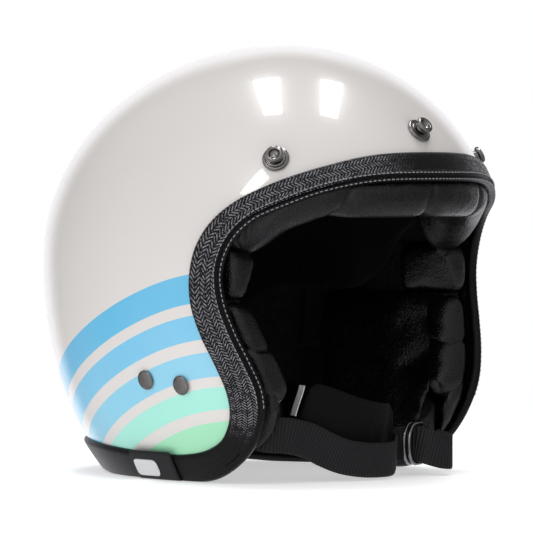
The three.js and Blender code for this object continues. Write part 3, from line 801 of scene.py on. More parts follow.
def sewn_strip(name, look, ys, zs, low, high, rounding):
    """A strip that lies over the trim on the wearer's right, between two heights above the shell."""
    u, v = np.meshgrid(np.linspace(-1, 1, 45), np.linspace(-1, 1, 25), indexing="ij")
    half_y, half_z = (ys[1] - ys[0]) / 2, (zs[1] - zs[0]) / 2
    corner = np.clip(np.abs(u) - (1 - rounding / half_y), 0, 1) * half_y / rounding
    v = v * (1 - (1 - np.sqrt(np.clip(1 - corner ** 2, 0, 1))) * rounding / half_z)
    y, z = (ys[0] + ys[1]) / 2 + u * half_y, (zs[0] + zs[1]) / 2 + v * half_z
    base = np.stack([-side_x(SHELL, y, z), y, z], -1)
    out = normal(base)
    near = np.minimum(half_y * (1 - np.abs(u)), half_z * (1 - np.abs(v)))
    pillow = 0.35 + 0.65 * np.clip(near / 1.4, 0, 1) ** 0.5
    top = base + out * (low + (high - low) * pillow)[..., None]
    points, faces = slab_between(top, base + out * low)
    points[:, 2] = np.maximum(points[:, 2], 0)
    uv = np.vstack([np.stack([y, z], -1).reshape(-1, 2)] * 2)
    return piece(name, points, faces, "shell", look, uv=uv)


def make_tag():
    """A folded strip of tape over the bottom trim, with a plain pale patch."""
    tag = sewn_strip("folded_tag", TAPE, rounding=0.6, **TAG)
    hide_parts("label_tag")
    top = TAG["high"]
    patch = sewn_strip("tag_patch", PATCH, PATCH_YS, PATCH_ZS, top + 0.02, top + 0.45, rounding=3.0)


# ---------------------------------------------------------------- padding

PUFF_FRAMES = 20
CLOTH = dict(quality=6, mass=0.3, tension_stiffness=12, compression_stiffness=12, shear_stiffness=5,
             bending_stiffness=0.4, use_pressure=True, vertex_group_mass="held")
CREASE_WIDTH = 1.15


def baked(obj):
    graph = bpy.context.evaluated_depsgraph_get()
    data = bpy.data.meshes.new_from_object(obj.evaluated_get(graph))
    old = obj.data
    obj.modifiers.clear()
    obj.data = data
    bpy.data.meshes.remove(old)


def creased(obj, seams, depth):
    """Sinks a sharp crease where seams(points in mm), the distance to the nearest seam, is small."""
    co, out = read(obj.data.vertices, "co"), read(obj.data.vertices, "normal")
    mark = np.exp(-(seams(to_local(co)) / CREASE_WIDTH) ** 2)
    obj.data.vertices.foreach_set("co", (co - out * (mark * depth * MM)[:, None]).ravel())
    # the leather's look reads this mark and darkens the crease with painted shade
    mark_points(obj.data, "crease", mark)


def blown_up(obj, pressure, cap):
    """Runs the cloth under pressure, and limits how far each point has moved to cap."""
    co = read(obj.data.vertices, "co")
    cloth = obj.modifiers.new("cloth", "CLOTH")
    for key, value in CLOTH.items():
        setattr(cloth.settings, key, value)
    cloth.settings.uniform_pressure_force = pressure
    cloth.settings.effector_weights.gravity = 0
    cloth.collision_settings.use_collision = False
    cloth.point_cache.frame_start, cloth.point_cache.frame_end = 1, PUFF_FRAMES
    scene = bpy.context.scene
    for f in range(1, PUFF_FRAMES + 1):
        scene.frame_set(f)
    baked(obj)
    scene.frame_set(1)
    moved = read(obj.data.vertices, "co") - co
    far = np.linalg.norm(moved, axis=1)
    moved *= np.minimum(1, cap * MM / np.maximum(far, 1e-9))[:, None]
    obj.data.vertices.foreach_set("co", (co + moved).ravel())


def puffed(name, rows, held, nodes, voxel, cap, pressure=4.0, seams=None, sunk=1.4):
    """Stuffs a closed shape: covers it in cloth, holds the points where held(points in mm) is 1, and lets
    pressure fill it."""
    grid = np.array(rows)
    obj = piece(name, grid, tube(grid))
    made = obj.modifiers.new("cover", "REMESH")
    made.mode, made.voxel_size, made.use_smooth_shade = "VOXEL", voxel * MM, True
    baked(obj)
    group = obj.vertex_groups.new(name="held")
    for i, w in enumerate(np.clip(held(to_local(read(obj.data.vertices, "co"))), 0, 1)):
        if w > 0.01:
            group.add([i], float(w), "REPLACE")
    blown_up(obj, pressure, cap)
    ease = obj.modifiers.new("ease", "SMOOTH")
    ease.factor, ease.iterations = 0.5, 3
    fine = obj.modifiers.new("fine", "SUBSURF")
    fine.levels = fine.render_levels = 1
    baked(obj)
    obj.vertex_groups.clear()
    if seams:
        creased(obj, seams, sunk)
    smooth_faces(obj.data)
    obj.data.materials.clear()
    obj.data.materials.append(PAD_LEATHER)
    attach(obj, "shell")
    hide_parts(*nodes)
    return obj


BROW_SECTION = [
    (-0.1, 171), (-0.2, 166), (-0.17, 160), (-0.06, 154.5), (0.1, 151), (0.32, 149), (0.58, 149.4),
    (0.8, 152.5), (0.93, 158), (1.0, 166), (1.0, 178), (0.92, 186), (0.74, 187), (0.62, 180), (0.52, 172.5),
    (0.2, 171.8),
]
NECK_SECTION = [
    (0.02, 27), (0.03, 14), (0.2, 9), (0.5, 8.2), (0.8, 10), (0.98, 17), (1.0, 28), (0.95, 40), (0.75, 45),
    (0.4, 45.5), (0.12, 44), (0.03, 38),
]
CHEEK_ROLL_SECTION = [
    (1.5, 8.4), (1.3, 12.5), (2.2, 17.5), (4.8, 22.5), (9.5, 25.6), (16, 26.4), (20.5, 24), (20, 12),
    (14, 8.2), (6, 7.9),
]
TEMPLE_OUTLINE = [
    (-53.5, 105), (-34, 104.6), (-16, 105), (-15, 118), (-16.5, 130), (-32, 133), (-49, 132.5), (-54.5, 126),
]
BROW_SEAMS, NECK_SEAMS = (-95, -58, -4, 50, 95), (-42, 0, 42)
CHEEK_TOP, CHEEK_SEAM_Z, CHEEK_ROLL_Z, WELT_Z = 103.5, 76, (102.6, 44.0), (54, 20)
BROW_ANGLES, NECK_ANGLES = (-160.2, -19.8), (31, 149)
CROWN_HALF, CROWN_ROWS, QUILT_X = 181, 110, 30
# How deep the pads' faces lie below the shell. The cheek pad is shallower ahead by CHEEK_TAPER.
BROW_OUTER, NECK_OUTER, NECK_INNER, TEMPLE_OUTER, WELT_OUTER = 7.3, 7.4, 29.7, 7.4, 7.9
CHEEK_OUTER, CHEEK_INNER, CHEEK_TAPER, CHEEK_EDGE = 22, 36.9, 10.5, 4.2


def seam_distance(x, seams):
    return np.min([np.abs(x - s) for s in seams], axis=0)


def between(outer, inner, angle, share, z):
    """Points between two forms at one angle round the helmet, a share of the way from outer to inner."""
    outer, inner = section(outer, angle, z), section(inner, angle, z)
    return outer + (inner - outer) * share[:, None]


def drawn_in(points, depth, angle, share):
    """Draws points a share of the way to a depth below the shell."""
    return points + (section(inset(depth), angle, points[:, 2]) - points) * share[:, None]


def below_shell(sign, depth, y, z):
    """Points on one side of the helmet at depths below the shell."""
    return np.c_[[sign * side_x(inset(d), v, w) for d, v, w in zip(depth, y, z)], y, z]


def lens(outline, shares, sign, depth_at):
    """Rows of a pad with a thin edge: its outer face from the middle out, and then its inner face back."""
    middle = outline.mean(0)
    rows = []
    for inner, run in ((False, shares), (True, shares[::-1])):
        for share in run:
            y, z = (middle + (outline - middle) * share).T
            rows.append(below_shell(sign, depth_at(inner, share, y, z), y, z))
    return rows


def make_brow():
    """The padded band over the brow, which reaches round to the temples and is pinched at its seams."""
    shape = loop_spline(BROW_SECTION, 48)
    rows = []
    for degrees in np.linspace(*BROW_ANGLES, 150):
        angle = math.radians(degrees)
        y = section(SHELL, angle, 150.0)[1]
        low = np.interp(y, [-98, -81, -66, -55, -44], [149, 142.5, 132, 127.5, 126])
        high = np.interp(y, [-62, -44], [189, 152])
        end = 1 - 0.5 * np.clip((abs(degrees + 90) - 66) / 4.2, 0, 1) ** 2
        f = 0.5 + (shape[:, 0] - 0.5) * end
        z = low + (shape[:, 1] - 149) / 40 * (high - low)
        z = (low + high) / 2 + (z - (low + high) / 2) * end
        points = between(inset(BROW_OUTER), BROW_CAVITY, angle, f, z)
        pinch = np.exp(-(seam_distance(points[:, 0], BROW_SEAMS) / 3.2) ** 2) * np.clip((168 - z) / 10, 0, 1)
        points[:, 2] += 3.4 * pinch * np.clip((1.0 - f) / 0.7, 0.15, 1)
        rows.append(drawn_in(points, 18, angle, 0.22 * pinch))

    def held(p):
        seam = seam_distance(p[:, 0], BROW_SEAMS) < 2.4
        return np.maximum((p[:, 2] > 170) * 1.0, seam * (p[:, 1] < -40) * 1.0)

    def seams(p):
        slanted = p[:, 0] + 0.25 * (p[:, 2] - 160) * np.sign(p[:, 0])
        return np.where(p[:, 1] < -30, seam_distance(slanted, BROW_SEAMS), 9.0)

    obj = puffed("brow_padding", rows, held, ["brow_pad"], voxel=3.2, cap=2.6, seams=seams)
    obj.data.materials.append(RIBBED)
    x = read(obj.data.polygons, "center")[:, 0] / MM
    obj.data.polygons.foreach_set("material_index", (np.abs(x) > BROW_SEAMS[-1] - 1).astype(int))


def trim_front(z):
    """How far forward the trim's roll lies at a height on the side."""
    heights = [8, 17.5, 29.5, 42, 55, 70, 87, 104, 120, 135.5]
    return np.interp(z, heights, [-39, -52, -61.5, -67, -68.5, -65, -59, -54, -53, -58])


def cheek_outline():
    top = CHEEK_TOP
    points = [(44, top - 10), (38, top), (-10, top), (-44, top), (-47, 90), (-50, 70)]
    for i in range(13):
        angle = math.pi * (0.96 + i / 12)
        points.append((HINGE_Y + PAD_REACH * math.cos(angle), HINGE_Z + PAD_REACH * math.sin(angle)))
    return points


def make_cheek(side, sign):
    """The cheek pad: deep at the back, and thinner ahead, where the roll beside the trim covers it."""
    outline = resample(loop_spline(cheek_outline(), 400), 129)[:-1]
    shares = np.r_[np.linspace(0.05, 0.88, 16), 0.93, 0.965, 0.985, 1.0]

    def depth_at(inner, share, y, z):
        thin = CHEEK_EDGE * np.clip((share - 0.7) / 0.3, 0, 1) ** 2.4
        ahead = np.clip((-15 - y) / 23, 0, 1)
        low = np.clip((62 - z) / 8, 0, 1)
        depth = CHEEK_INNER - CHEEK_TAPER * ahead * ahead * (3 - 2 * ahead) * (1 - 0.6 * low) - thin
        return depth if inner else np.minimum(CHEEK_OUTER + 0.3 * thin + (2.6 + 0.7 * thin) * low, depth - 2)

    def held(p):
        return ((level(p, inset(25)) > 0) | (p[:, 1] < -42)) * 1.0

    rows = lens(outline, shares, sign, depth_at)
    puffed(f"cheek_padding_{side}", rows, held, [f"cheek_pad_{side}"], voxel=3.6, pressure=5.0, cap=3.0)


def make_cheek_roll(side, sign):
    """The cheek pad's front: an upright roll beside the trim, seamed across its middle."""
    shape = loop_spline(CHEEK_ROLL_SECTION, 44)
    rows = []
    for z in np.linspace(*CHEEK_ROLL_Z, 60):
        size = math.sqrt(max(0.06, 1 - (abs(z - 73.3) / 29.8) ** 12))
        deep = np.interp(z, [44, 54, 70, 90, 97, 102.6], [25, 29.5, 29.5, 28.5, 27, 23])
        pinch = 1 - 0.05 * math.exp(-((z - CHEEK_SEAM_Z) / 3.0) ** 2)
        away = 10.5 + (shape[:, 0] - 10.5) * size * pinch
        depth = 8 + (shape[:, 1] - 8) * (deep - 8) / 17.6
        depth = 16 + (depth - 16) * size * pinch
        rows.append(below_shell(sign, depth, trim_front(z) + away, np.full(len(away), z)))

    def seams(p):
        return np.abs(p[:, 2] - CHEEK_SEAM_Z - 0.08 * (p[:, 1] + 58))

    def held(p):
        near_trim, near_pad = level(p, inset(10.5)) > 0, p[:, 1] > trim_front(p[:, 2]) + 16
        return (near_trim | near_pad | (seams(p) < 1.5)) * 1.0

    puffed(f"cheek_roll_{side}", rows, held, [], voxel=2.6, pressure=5.0, cap=1.8, seams=seams, sunk=1.2)


def make_cheek_welt(side, sign):
    """A thin edge that carries the cheek roll down beside the trim, cut slantwise so that the strap's leg
    clears it."""
    rows = []
    for z in np.linspace(*WELT_Z, 44):
        size = math.sqrt(max(0.02, 1 - (abs(z - 37) / 17.3) ** 8))
        tip = trim_front(z) + 1.2
        reach = np.linspace(math.hypot(tip - HINGE_Y, z - HINGE_Z), PAD_REACH + 0.5, 12)
        y = HINGE_Y - np.sqrt(reach ** 2 - (z - HINGE_Z) ** 2)
        outer = side_x(inset(WELT_OUTER), y, z)
        clear = np.interp(reach, [46, 50, 54, 58], [77.2, 74.5, 70, 64]) + 0.4 * max(0, 36 - z)
        curve = np.sin(np.linspace(0.12, math.pi - 0.12, 12)) ** 0.5
        inner = outer - np.clip(outer - clear, 0.6, 11) * curve
        x, y = np.r_[outer, inner[::-1]], np.r_[y, y[::-1]]
        x, y = x.mean() + (x - x.mean()) * size, y.mean() + (y - y.mean()) * size
        rows.append(np.c_[sign * x, y, np.full(len(y), z)][::-sign])
    grid = np.array(rows)
    obj = piece(f"cheek_welt_{side}", grid, tube(grid), "shell", PAD_LEATHER)


def make_neck_roll():
    """The padded roll behind the neck, held along its seams."""
    shape = loop_spline(NECK_SECTION, 40)
    rows = []
    for degrees in np.linspace(*NECK_ANGLES, 120):
        angle = math.radians(degrees)
        end = 1 - 0.45 * np.clip((abs(degrees - 90) - 55) / 4, 0, 1) ** 2
        f, z = 0.5 + (shape[:, 0] - 0.5) * end, 27 + (shape[:, 1] - 27) * end
        points = between(inset(NECK_OUTER), inset(NECK_INNER), angle, f, z)
        pinch = np.exp(-(seam_distance(points[:, 0], NECK_SEAMS) / 3.0) ** 2)
        rows.append(drawn_in(points, 14, angle, 0.25 * pinch * (f > 0.4)))

    def held(p):
        return ((level(p, inset(12)) > 0) | (seam_distance(p[:, 0], NECK_SEAMS) < 2.0)) * 1.0

    puffed("nape_padding", rows, held, ["neck_roll"], voxel=4.0, cap=2.5)


def make_crown():
    """The crown lining: quilted cloth over thin foam."""
    rim = whole(rim_curve(CROWN_LINE, CROWN_HALF, HEAD_CAVITY))

    def quilted(inner, form):
        x, y, z = np.moveaxis(inner, -1, 0)
        rows = np.abs((np.degrees(np.arctan2(z - 100, y - 5)) % 20) - 10)
        lines = np.minimum(np.abs(np.abs(x) - QUILT_X), rows * 1.6 + 100 * (np.abs(x) > QUILT_X))
        swell = 1.2 - 3.4 * np.exp(-(lines / 2.4) ** 2)
        return inner - normal(inner, form) * swell[..., None]

    def uv(points):
        x, y, z = points.T
        return np.c_[x, np.arctan2(z - 100, y - 5) * 90]

    crown = dome_solid("crown_lining", rim, LINER_CAVITY, HEAD_CAVITY, CROWN_ROWS, LINING, quilted, uv)
    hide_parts("crown_pad")


def make_temple(side, sign):
    """The pad beside the temple: thin at the trim, thick further in."""
    outline = resample(loop_spline(TEMPLE_OUTLINE, 300), 97)[:-1]
    shares = np.r_[np.linspace(0.04, 0.88, 14), 0.94, 0.98, 1.0]

    def depth_at(inner, share, y, z):
        thick = np.interp(y, [-52, -38, -24, -17], [10, 18, 25, 26])
        thick = thick + np.clip((z - 108) / 24, 0, 1) * (-4 - y) * 0.2
        thin = 0.36 * thick * np.clip((share - 0.75) / 0.25, 0, 1) ** 2.2 * np.interp(y, [-50, -40], [0.3, 1])
        return TEMPLE_OUTER + thick - thin if inner else np.full(len(y), TEMPLE_OUTER)

    def held(p):
        return (level(p, inset(10)) > 0) * 1.0

    puffed(f"temple_padding_{side}", lens(outline, shares, sign, depth_at), held, [f"temple_patch_{side}"],
           voxel=3.2, pressure=3.0, cap=1.5)


# ---------------------------------------------------------------- metal fittings

SNAP_BASE_LIFT, RIVET_LIFT = 0.15, 0.45
TURNED_SIDES, CORNER, CORNER_STEPS = 48, 0.25, 4
SNAPS = {"centre": (0, 197.5), "right": (-83.3, 181.8), "left": (83.3, 181.8)}
RIVETS = {"rear": (5.6, 57.8), "front": (-20.5, 55.6)}
DISH_PROFILE = [
    (2.6, 0.0), (7.2, 0.0), (7.7, 0.7), (7.3, 1.5), (6.3, 1.9), (5.4, 1.5), (4.6, 1.9), (2.6, 2.1),
]
BUTTON_PROFILE = [
    (0, -8.0), (2.2, -8.0), (2.2, 2.3), (3.7, 2.6), (3.4, 4.2), (4.6, 4.9), (5.2, 5.8), (4.9, 6.9),
    (4.1, 7.4), (3.1, 7.2), (2.5, 5.6), (1.3, 5.0), (0, 5.2),
]
RIVET_PROFILE = [
    (0, -10.0), (2.4, -10.0), (2.4, 0), (5.5, 0), (5.75, 0.5), (5.4, 1.1), (4.2, 1.45), (2.2, 1.6), (0, 1.65),
]


def rounded(profile):
    """Rounds the corners of a profile."""
    pts = [np.array(p, float) for p in profile]
    made = [pts[0]]
    for before, corner, after in zip(pts, pts[1:], pts[2:]):
        back, ahead = before - corner, after - corner
        cut = min(CORNER, 0.45 * np.linalg.norm(back), 0.45 * np.linalg.norm(ahead))
        made.extend(bend(corner + unit(back) * cut, corner, corner + unit(ahead) * cut, CORNER_STEPS))
    return made + [pts[-1]]


def turned(name, profile, origin, axis, node):
    """A turned part of dark metal: its profile is a list of (radius, height along the axis)."""
    helper = unit(np.cross(axis, (0.3, 0.2, 0.9)))
    other = np.cross(axis, helper)
    turn = turn_of(TURNED_SIDES)[:, None]
    curve = np.cos(turn) * helper + np.sin(turn) * other
    rings = np.array([origin + axis * h + curve * max(r, 0.02) for r, h in rounded(profile)])
    obj = piece(name, rings, tube(rings), "shell", DARK_NICKEL)
    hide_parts(node)


def make_snaps():
    for name, (x, z) in SNAPS.items():
        origin = np.array([x, front_y(x, z), z], float)
        out = normal(origin)
        base = origin + out * SNAP_BASE_LIFT
        turned(f"snap_dish_{name}", DISH_PROFILE, base, out, f"snap_base_{name}")
        turned(f"snap_button_{name}", BUTTON_PROFILE, base, out, f"snap_stud_{name}")


def make_rivets(side, sign):
    out = normal(np.array([sign * side_x(SHELL, -7.5, 56.7), -7.5, 56.7], float))
    out[1] = 0
    out = unit(out)
    for place, (y, z) in RIVETS.items():
        spot = np.array([sign * side_x(SHELL, y, z), y, z], float) + out * RIVET_LIFT
        turned(f"rivet_head_{side}_{place}", RIVET_PROFILE, spot, out, f"rivet_{side}_{place}")


# ---------------------------------------------------------------- chin strap

WEB_WIDTH, WEB_THICK, RIB_HEIGHT, WEB_EDGE = 20.3, 1.6, 0.17, 1.3
WEB_STEP = RIB_PITCH / 6
BACK_OFFSET = 20  # keeps the front and the back of the webbing apart on its length map
SLEEVE_WIDTH, SLEEVE_THICK = 34.0, 5.0
SLEEVE_STEP, SLEEVE_SIDES, SLEEVE_CORNERS, SLEEVE_SEAM = 0.9, 44, (7.0, 11.0), 3.2
LABEL_CENTRE, LABEL_SIZE, LABEL_THICK = (-55.5, -62.0, 46.5), (8.0, 17.0), 0.6
LABEL_TURN, LABEL_LEAN = math.radians(-27), 0.3


def band_frames(route, step):
    """Evenly spaced places on a strap's route: centre, across, outward and how far each is along it."""
    t = np.linspace(0, len(route) - 1, ROUTE_FINE)
    curve = catmull([p[:3] for p in route], t)
    lean = np.radians(np.interp(t, range(len(route)), [p[3] for p in route]))
    run = lengths(curve)
    at = np.linspace(0, run[-1], max(2, int(run[-1] / step)))
    centre = along_at(at, run, curve)
    lean = np.interp(at, run, lean)[:, None]
    along = unit(np.gradient(centre, axis=0))
    up = np.array([0, 0, 1.0])
    rise = unit(up - along * (along @ up)[:, None])
    across = rise * np.cos(lean) + np.cross(along, rise) * np.sin(lean)
    return centre, across, unit(np.cross(along, across)), at


def webbing(name, route, node):
    """A flat strap with crosswise ribs along a route."""
    centre, across, outward, at = band_frames(route, WEB_STEP)
    strength = RIB_HEIGHT * np.clip((at[-1] - at) / 3, 0, 1) * np.clip(at / 2, 0, 1)
    wave = np.cos(2 * math.pi * at / RIB_PITCH)
    w = np.array([-1, -0.985, -0.93, -0.84, -0.5, 0, 0.5, 0.84, 0.93, 0.985]) * WEB_WIDTH / 2
    columns, marks = [], []
    for p, sign in [(p, 1.0) for p in w] + [(-p, -1.0) for p in w]:
        inside = np.clip((WEB_WIDTH / 2 - abs(p)) / WEB_EDGE, 0, 1)
        body = WEB_THICK / 2 * (0.42 + 0.58 * inside ** 0.5)
        rib = strength * wave * (0.35 + 0.65 * inside)
        columns.append(centre + across * p + outward * (sign * (body - RIB_HEIGHT * 0.5 + rib))[:, None])
        marks.append(np.c_[at, np.full(len(at), p + sign * BACK_OFFSET)])
    grid, uv = np.stack(columns, 1), np.stack(marks, 1).reshape(-1, 2)
    obj = piece(name, grid, tube(grid), "chin_strap", WEBBING, uv=uv)
    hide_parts(node)


def signed_power(values, power):
    return np.sign(values) * np.abs(values) ** power


def make_sleeve():
    """The padded sleeve over the strap: a soft flat tube with rounded ends."""
    centre, across, outward, at = band_frames(SLEEVE, SLEEVE_STEP)
    run, half = at[-1], SLEEVE_WIDTH / 2
    turn = turn_of(SLEEVE_SIDES)
    rows, marks = [], []
    for i, s in enumerate(at):
        near = min(s, run - s)
        corner = SLEEVE_CORNERS[0 if s < run / 2 else 1]
        pull = corner - math.sqrt(max(0, corner ** 2 - max(0, corner - near) ** 2))
        fold = 0.35 * math.sin(s * 0.55) + 0.22 * math.sin(s * 1.3 + 1)
        w = (half - pull) * signed_power(np.cos(turn), 0.45)
        n = SLEEVE_THICK / 2 * min(1, 0.35 + 0.65 * near / 3.0) * signed_power(np.sin(turn), 0.8)
        seam = np.exp(-((np.abs(w) - (half - SLEEVE_SEAM)) / 0.7) ** 2)
        n = n * (1 - 0.22 * seam) + fold * 0.5 * (1 - np.abs(w) / half) * np.sign(n)
        rows.append(centre[i] + across[i] * w[:, None] + outward[i] * n[:, None])
        marks.append(np.c_[np.full(len(turn), s), w])
    grid = np.array(rows)
    obj = piece("strap_cover", grid, tube(grid), "chin_strap", SLEEVE_CLOTH, uv=np.vstack(marks))
    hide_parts("strap_sleeve")


def make_label():
    """The small pale label sewn under the sleeve's end."""
    s, h = np.meshgrid(np.linspace(-1, 1, 19), np.linspace(-1, 1, 25), indexing="ij")
    bow = 0.5 * (1 - s ** 2) + 0.15 * np.sin(h * 3)
    along, z = s * LABEL_SIZE[0] / 2, h * LABEL_SIZE[1] / 2
    cosine, sine = math.cos(LABEL_TURN), math.sin(LABEL_TURN)
    sides = []
    for side in (-1, 1):
        out = bow - 0.25 + side * LABEL_THICK / 2
        x = out * cosine - along * sine + z * LABEL_LEAN * 0.68
        y = out * sine + along * cosine - z * LABEL_LEAN * 0.73
        sides.append(np.stack([x, y, z], -1) + LABEL_CENTRE)
    points, faces = slab_between(*sides)
    uv = np.vstack([np.stack([along, z], -1).reshape(-1, 2)] * 2)
    obj = piece("care_label", points, faces, "chin_strap", WOVEN_LABEL, uv=uv)
    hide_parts("strap_label")


RING_HALF, RING_CORNER, RING_ARM, RING_DEPTH, RING_WIRE = 11.8, 2.0, 8.5, 19.5, 0.95
RING_PLACES, RING_SIDES = 140, 16


def ring_path():
    """The D ring's centre line in its own plane: a straight bar, two bent corners, two arms and a bow."""
    tip = RING_ARM + (RING_DEPTH - RING_ARM) / 0.75

    def at(t, w):
        return np.array([-t, 0.0, w])

    inner = RING_HALF - RING_CORNER
    corners, arms = [], []
    for sign in (1, -1):
        h = sign * RING_HALF
        corners.append(bend(at(0, sign * inner), at(0, h), at(RING_CORNER, h), 8))
        arms.append(np.linspace(at(RING_CORNER, h), at(RING_ARM, h), 8))
    t = np.linspace(0, 1, 24)[:, None]
    a, b, c, d = at(RING_ARM, RING_HALF), at(tip, RING_HALF), at(tip, -RING_HALF), at(RING_ARM, -RING_HALF)
    bow = (1 - t) ** 3 * a + 3 * (1 - t) ** 2 * t * b + 3 * (1 - t) * t ** 2 * c + t ** 3 * d
    bar = np.linspace(at(0, -inner), at(0, inner), 20)
    path = np.vstack([bar, corners[0], arms[0], bow, arms[1][::-1], corners[1][::-1]])
    keep = np.r_[True, np.linalg.norm(np.diff(path, axis=0), axis=1) > 1e-6]
    return resample(np.vstack([path[keep], path[:1]]), RING_PLACES + 1)[:-1]


def make_ring(name, centre):
    path = ring_path()
    ahead = unit(np.roll(path, -1, 0) - np.roll(path, 1, 0))
    side = np.array([0, 1.0, 0])
    out = np.cross(ahead, side)[:, None]
    turn = turn_of(RING_SIDES)[None, :, None]
    rings = path[:, None] + RING_WIRE * (np.cos(turn) * side + np.sin(turn) * out)
    heading = math.radians(RING_HEADING)
    c, s = math.cos(heading), math.sin(heading)
    x, y, z = np.moveaxis(rings, -1, 0)
    rings = np.stack([x * c - y * s, x * s + y * c, z], -1) + centre
    faces = quads(*rings.shape[:2], wrap_rows=True, wrap_columns=True)
    obj = piece(f"buckle_ring_{name}", rings, faces, f"ring_{name}", STEEL)
    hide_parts(f"d_ring_{name}")


# ---------------------------------------------------------------- build

make_shell()
make_trim()
make_seam_stitches()
make_tag()
make_brow()
for side, sign in SIDES.items():
    make_cheek(side, sign)
    make_cheek_roll(side, sign)
    make_cheek_welt(side, sign)
    make_temple(side, sign)
make_neck_roll()
make_crown()
make_snaps()
for side, sign in SIDES.items():
    make_rivets(side, sign)
webbing("strap_webbing_right", STRAP_RIGHT, "strap_right")
webbing("strap_webbing_left", STRAP_LEFT, "strap_left")
make_sleeve()
make_label()
for name, centre in RINGS.items():
    make_ring(name, centre)

FOAM_NODES = ("eps_liner", "cheek_core")
STEEL_NODES = ("snap_washer", "rivet_washer", "anchor_plate")
for name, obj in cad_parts.items():
    if name.startswith(FOAM_NODES + STEEL_NODES):
        obj.data.materials.clear()
        obj.data.materials.append(FOAM if name.startswith(FOAM_NODES) else STEEL)

# ---------------------------------------------------------------- stage

WHITE = (1, 1, 1, 1)
FLOOR_HALF, FLOOR_Z = 6.0, -0.0005
WALL_RADIUS, WALL_HEIGHTS, WALL_SIDES = 18, (-9, 18), 48
WORLD_BASE, WORLD_TINT = 0.2, (0.965, 0.965, 1.0, 1)
WORLD_LOBES = [  # direction, where each starts and is full, how much light it adds
    ((-0.97, 0.10, 0.18), 0.45, 0.95, 0.56),
    ((-0.35, -0.62, 0.70), 0.35, 0.95, 0.40),
    ((0, 0, -1), 0.0, 0.6, 0.36),
    ((0.73, 0.68, 0.0), 0.7, 0.9, 0.85),
]
BOX_MIDDLE, BOX_DISTANCE = (-0.02, -0.05, 0.16), 2.5
SOFTBOXES = {  # the directions of each light's corners, and its strength
    "box_a": ([(0.13, 0.46, 0.88), (0.23, 0.35, 0.91), (-0.17, 0.04, 0.98), (-0.25, 0.15, 0.95)], 13),
    "box_b": ([(0.41, 0.18, 0.89), (0.51, 0.11, 0.85), (0.15, -0.26, 0.95), (0.05, -0.17, 0.98)], 13),
    "box_c": ([(-0.85, 0.02, 0.52), (-0.68, -0.10, 0.73), (-0.71, -0.21, 0.67), (-0.86, -0.09, 0.51)], 8),
}
CAMERA = dict(azimuth=-47.0, elevation=1.34, distance=2.5, lens=291.1, sensor=36, near=0.05, far=60,
              target=(-0.0070, -0.00885, 0.1198))


def stage_mesh(name, points, faces, material):
    data = bpy.data.meshes.new(name)
    data.from_pydata([tuple(p) for p in points], [], faces)
    obj = bpy.data.objects.new(name, data)
    bpy.context.scene.collection.objects.link(obj)
    data.materials.append(material)
    return obj


def glow(name, strength):
    look = Look(name)
    return look.show(look.node("Emission", {"Color": WHITE, "Strength": strength}))


def make_floor():
    look = Look("pale_floor")
    where = look.node("TexCoord").outputs["Object"]
    away = look.node("VectorMath", {0: where}, operation="LENGTH").outputs["Value"]
    near = look.span(away, 0.25, 0.7, 0.0, 1.0, smooth=True)
    tint = look.span(look.noise(where, 30, 3), 0, 1, 0.86, 0.9)
    matt = look.node("BsdfDiffuse", {"Color": tint})
    light = look.node("Emission", {"Color": WHITE, "Strength": 0.5})
    lit = look.node("AddShader", {0: matt.outputs[0], 1: light.outputs[0]})
    far = look.node("Emission", {"Color": WHITE, "Strength": 1.0})
    material = look.show(look.node("MixShader", {0: near, 1: lit.outputs[0], 2: far.outputs[0]}))
    corners = [(x * FLOOR_HALF, y * FLOOR_HALF, FLOOR_Z) for x, y in ((-1, -1), (1, -1), (1, 1), (-1, 1))]
    stage_mesh("floor", corners, [(0, 1, 2, 3)], material).visible_glossy = False


def make_softbox(name, directions, strength):
    corners = np.array(BOX_MIDDLE) + BOX_DISTANCE * unit(np.array(directions))
    stage_mesh(name, corners, [(0, 1, 2, 3)], glow(name + "_light", strength)).visible_camera = False


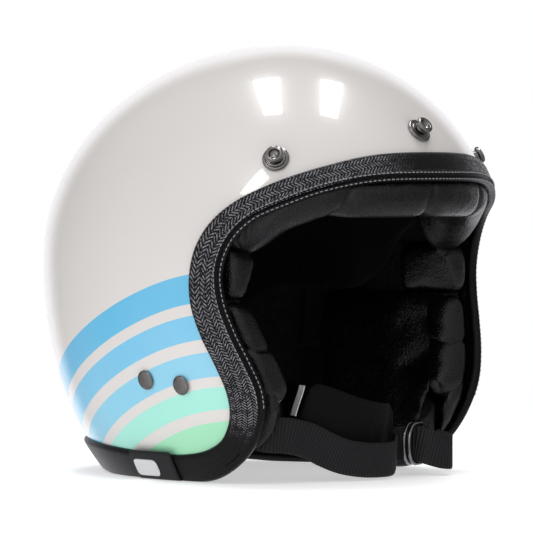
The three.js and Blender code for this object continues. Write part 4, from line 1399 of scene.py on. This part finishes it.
def make_backdrop():
    """A white wall all round that only the camera sees."""
    turn, n = turn_of(WALL_SIDES), WALL_SIDES
    points = [(WALL_RADIUS * math.cos(a), WALL_RADIUS * math.sin(a), z) for z in WALL_HEIGHTS for a in turn]
    faces = [(i, (i + 1) % n, n + (i + 1) % n, n + i) for i in range(n)]
    faces += [tuple(range(n)), tuple(range(n, 2 * n))]
    wall = stage_mesh("backdrop", points, faces, glow("backdrop_light", 1.0))
    for ray in ("diffuse", "glossy", "transmission", "volume_scatter", "shadow"):
        setattr(wall, "visible_" + ray, False)


def make_world():
    """A dim room with a bright left wall, a pale floor, light from the front, and a white wall that edges the
    helmet."""
    look = Look("studio", bpy.data.worlds)
    where = look.node("TexCoord").outputs["Generated"]
    total = WORLD_BASE
    for direction, start, full, strength in WORLD_LOBES:
        middle = Vector(direction).normalized()
        toward = look.node("VectorMath", {0: where, 1: middle}, operation="DOT_PRODUCT")
        total = look.plus(look.span(toward.outputs["Value"], start, full, 0.0, strength, smooth=True), total)
    background = look.node("Background", {0: WORLD_TINT, 1: total})
    bpy.context.scene.world = look.show(background, "OutputWorld")


def make_camera():
    a, e = math.radians(CAMERA["azimuth"]), math.radians(CAMERA["elevation"])
    back = Vector((math.sin(a) * math.cos(e), -math.cos(a) * math.cos(e), math.sin(e)))
    data = bpy.data.cameras.new("camera")
    data.lens, data.sensor_width = CAMERA["lens"], CAMERA["sensor"]
    data.clip_start, data.clip_end = CAMERA["near"], CAMERA["far"]
    camera = bpy.data.objects.new("camera", data)
    bpy.context.scene.collection.objects.link(camera)
    camera.location = Vector(CAMERA["target"]) + back * CAMERA["distance"]
    camera.rotation_mode = "QUATERNION"
    camera.rotation_quaternion = (-back).to_track_quat("-Z", "Y")
    bpy.context.scene.camera = camera


make_floor()
make_backdrop()
make_world()
for name, (directions, strength) in SOFTBOXES.items():
    make_softbox(name, directions, strength)
bpy.context.scene.view_settings.view_transform = "Standard"
bpy.context.scene.view_settings.look = "None"
make_camera()
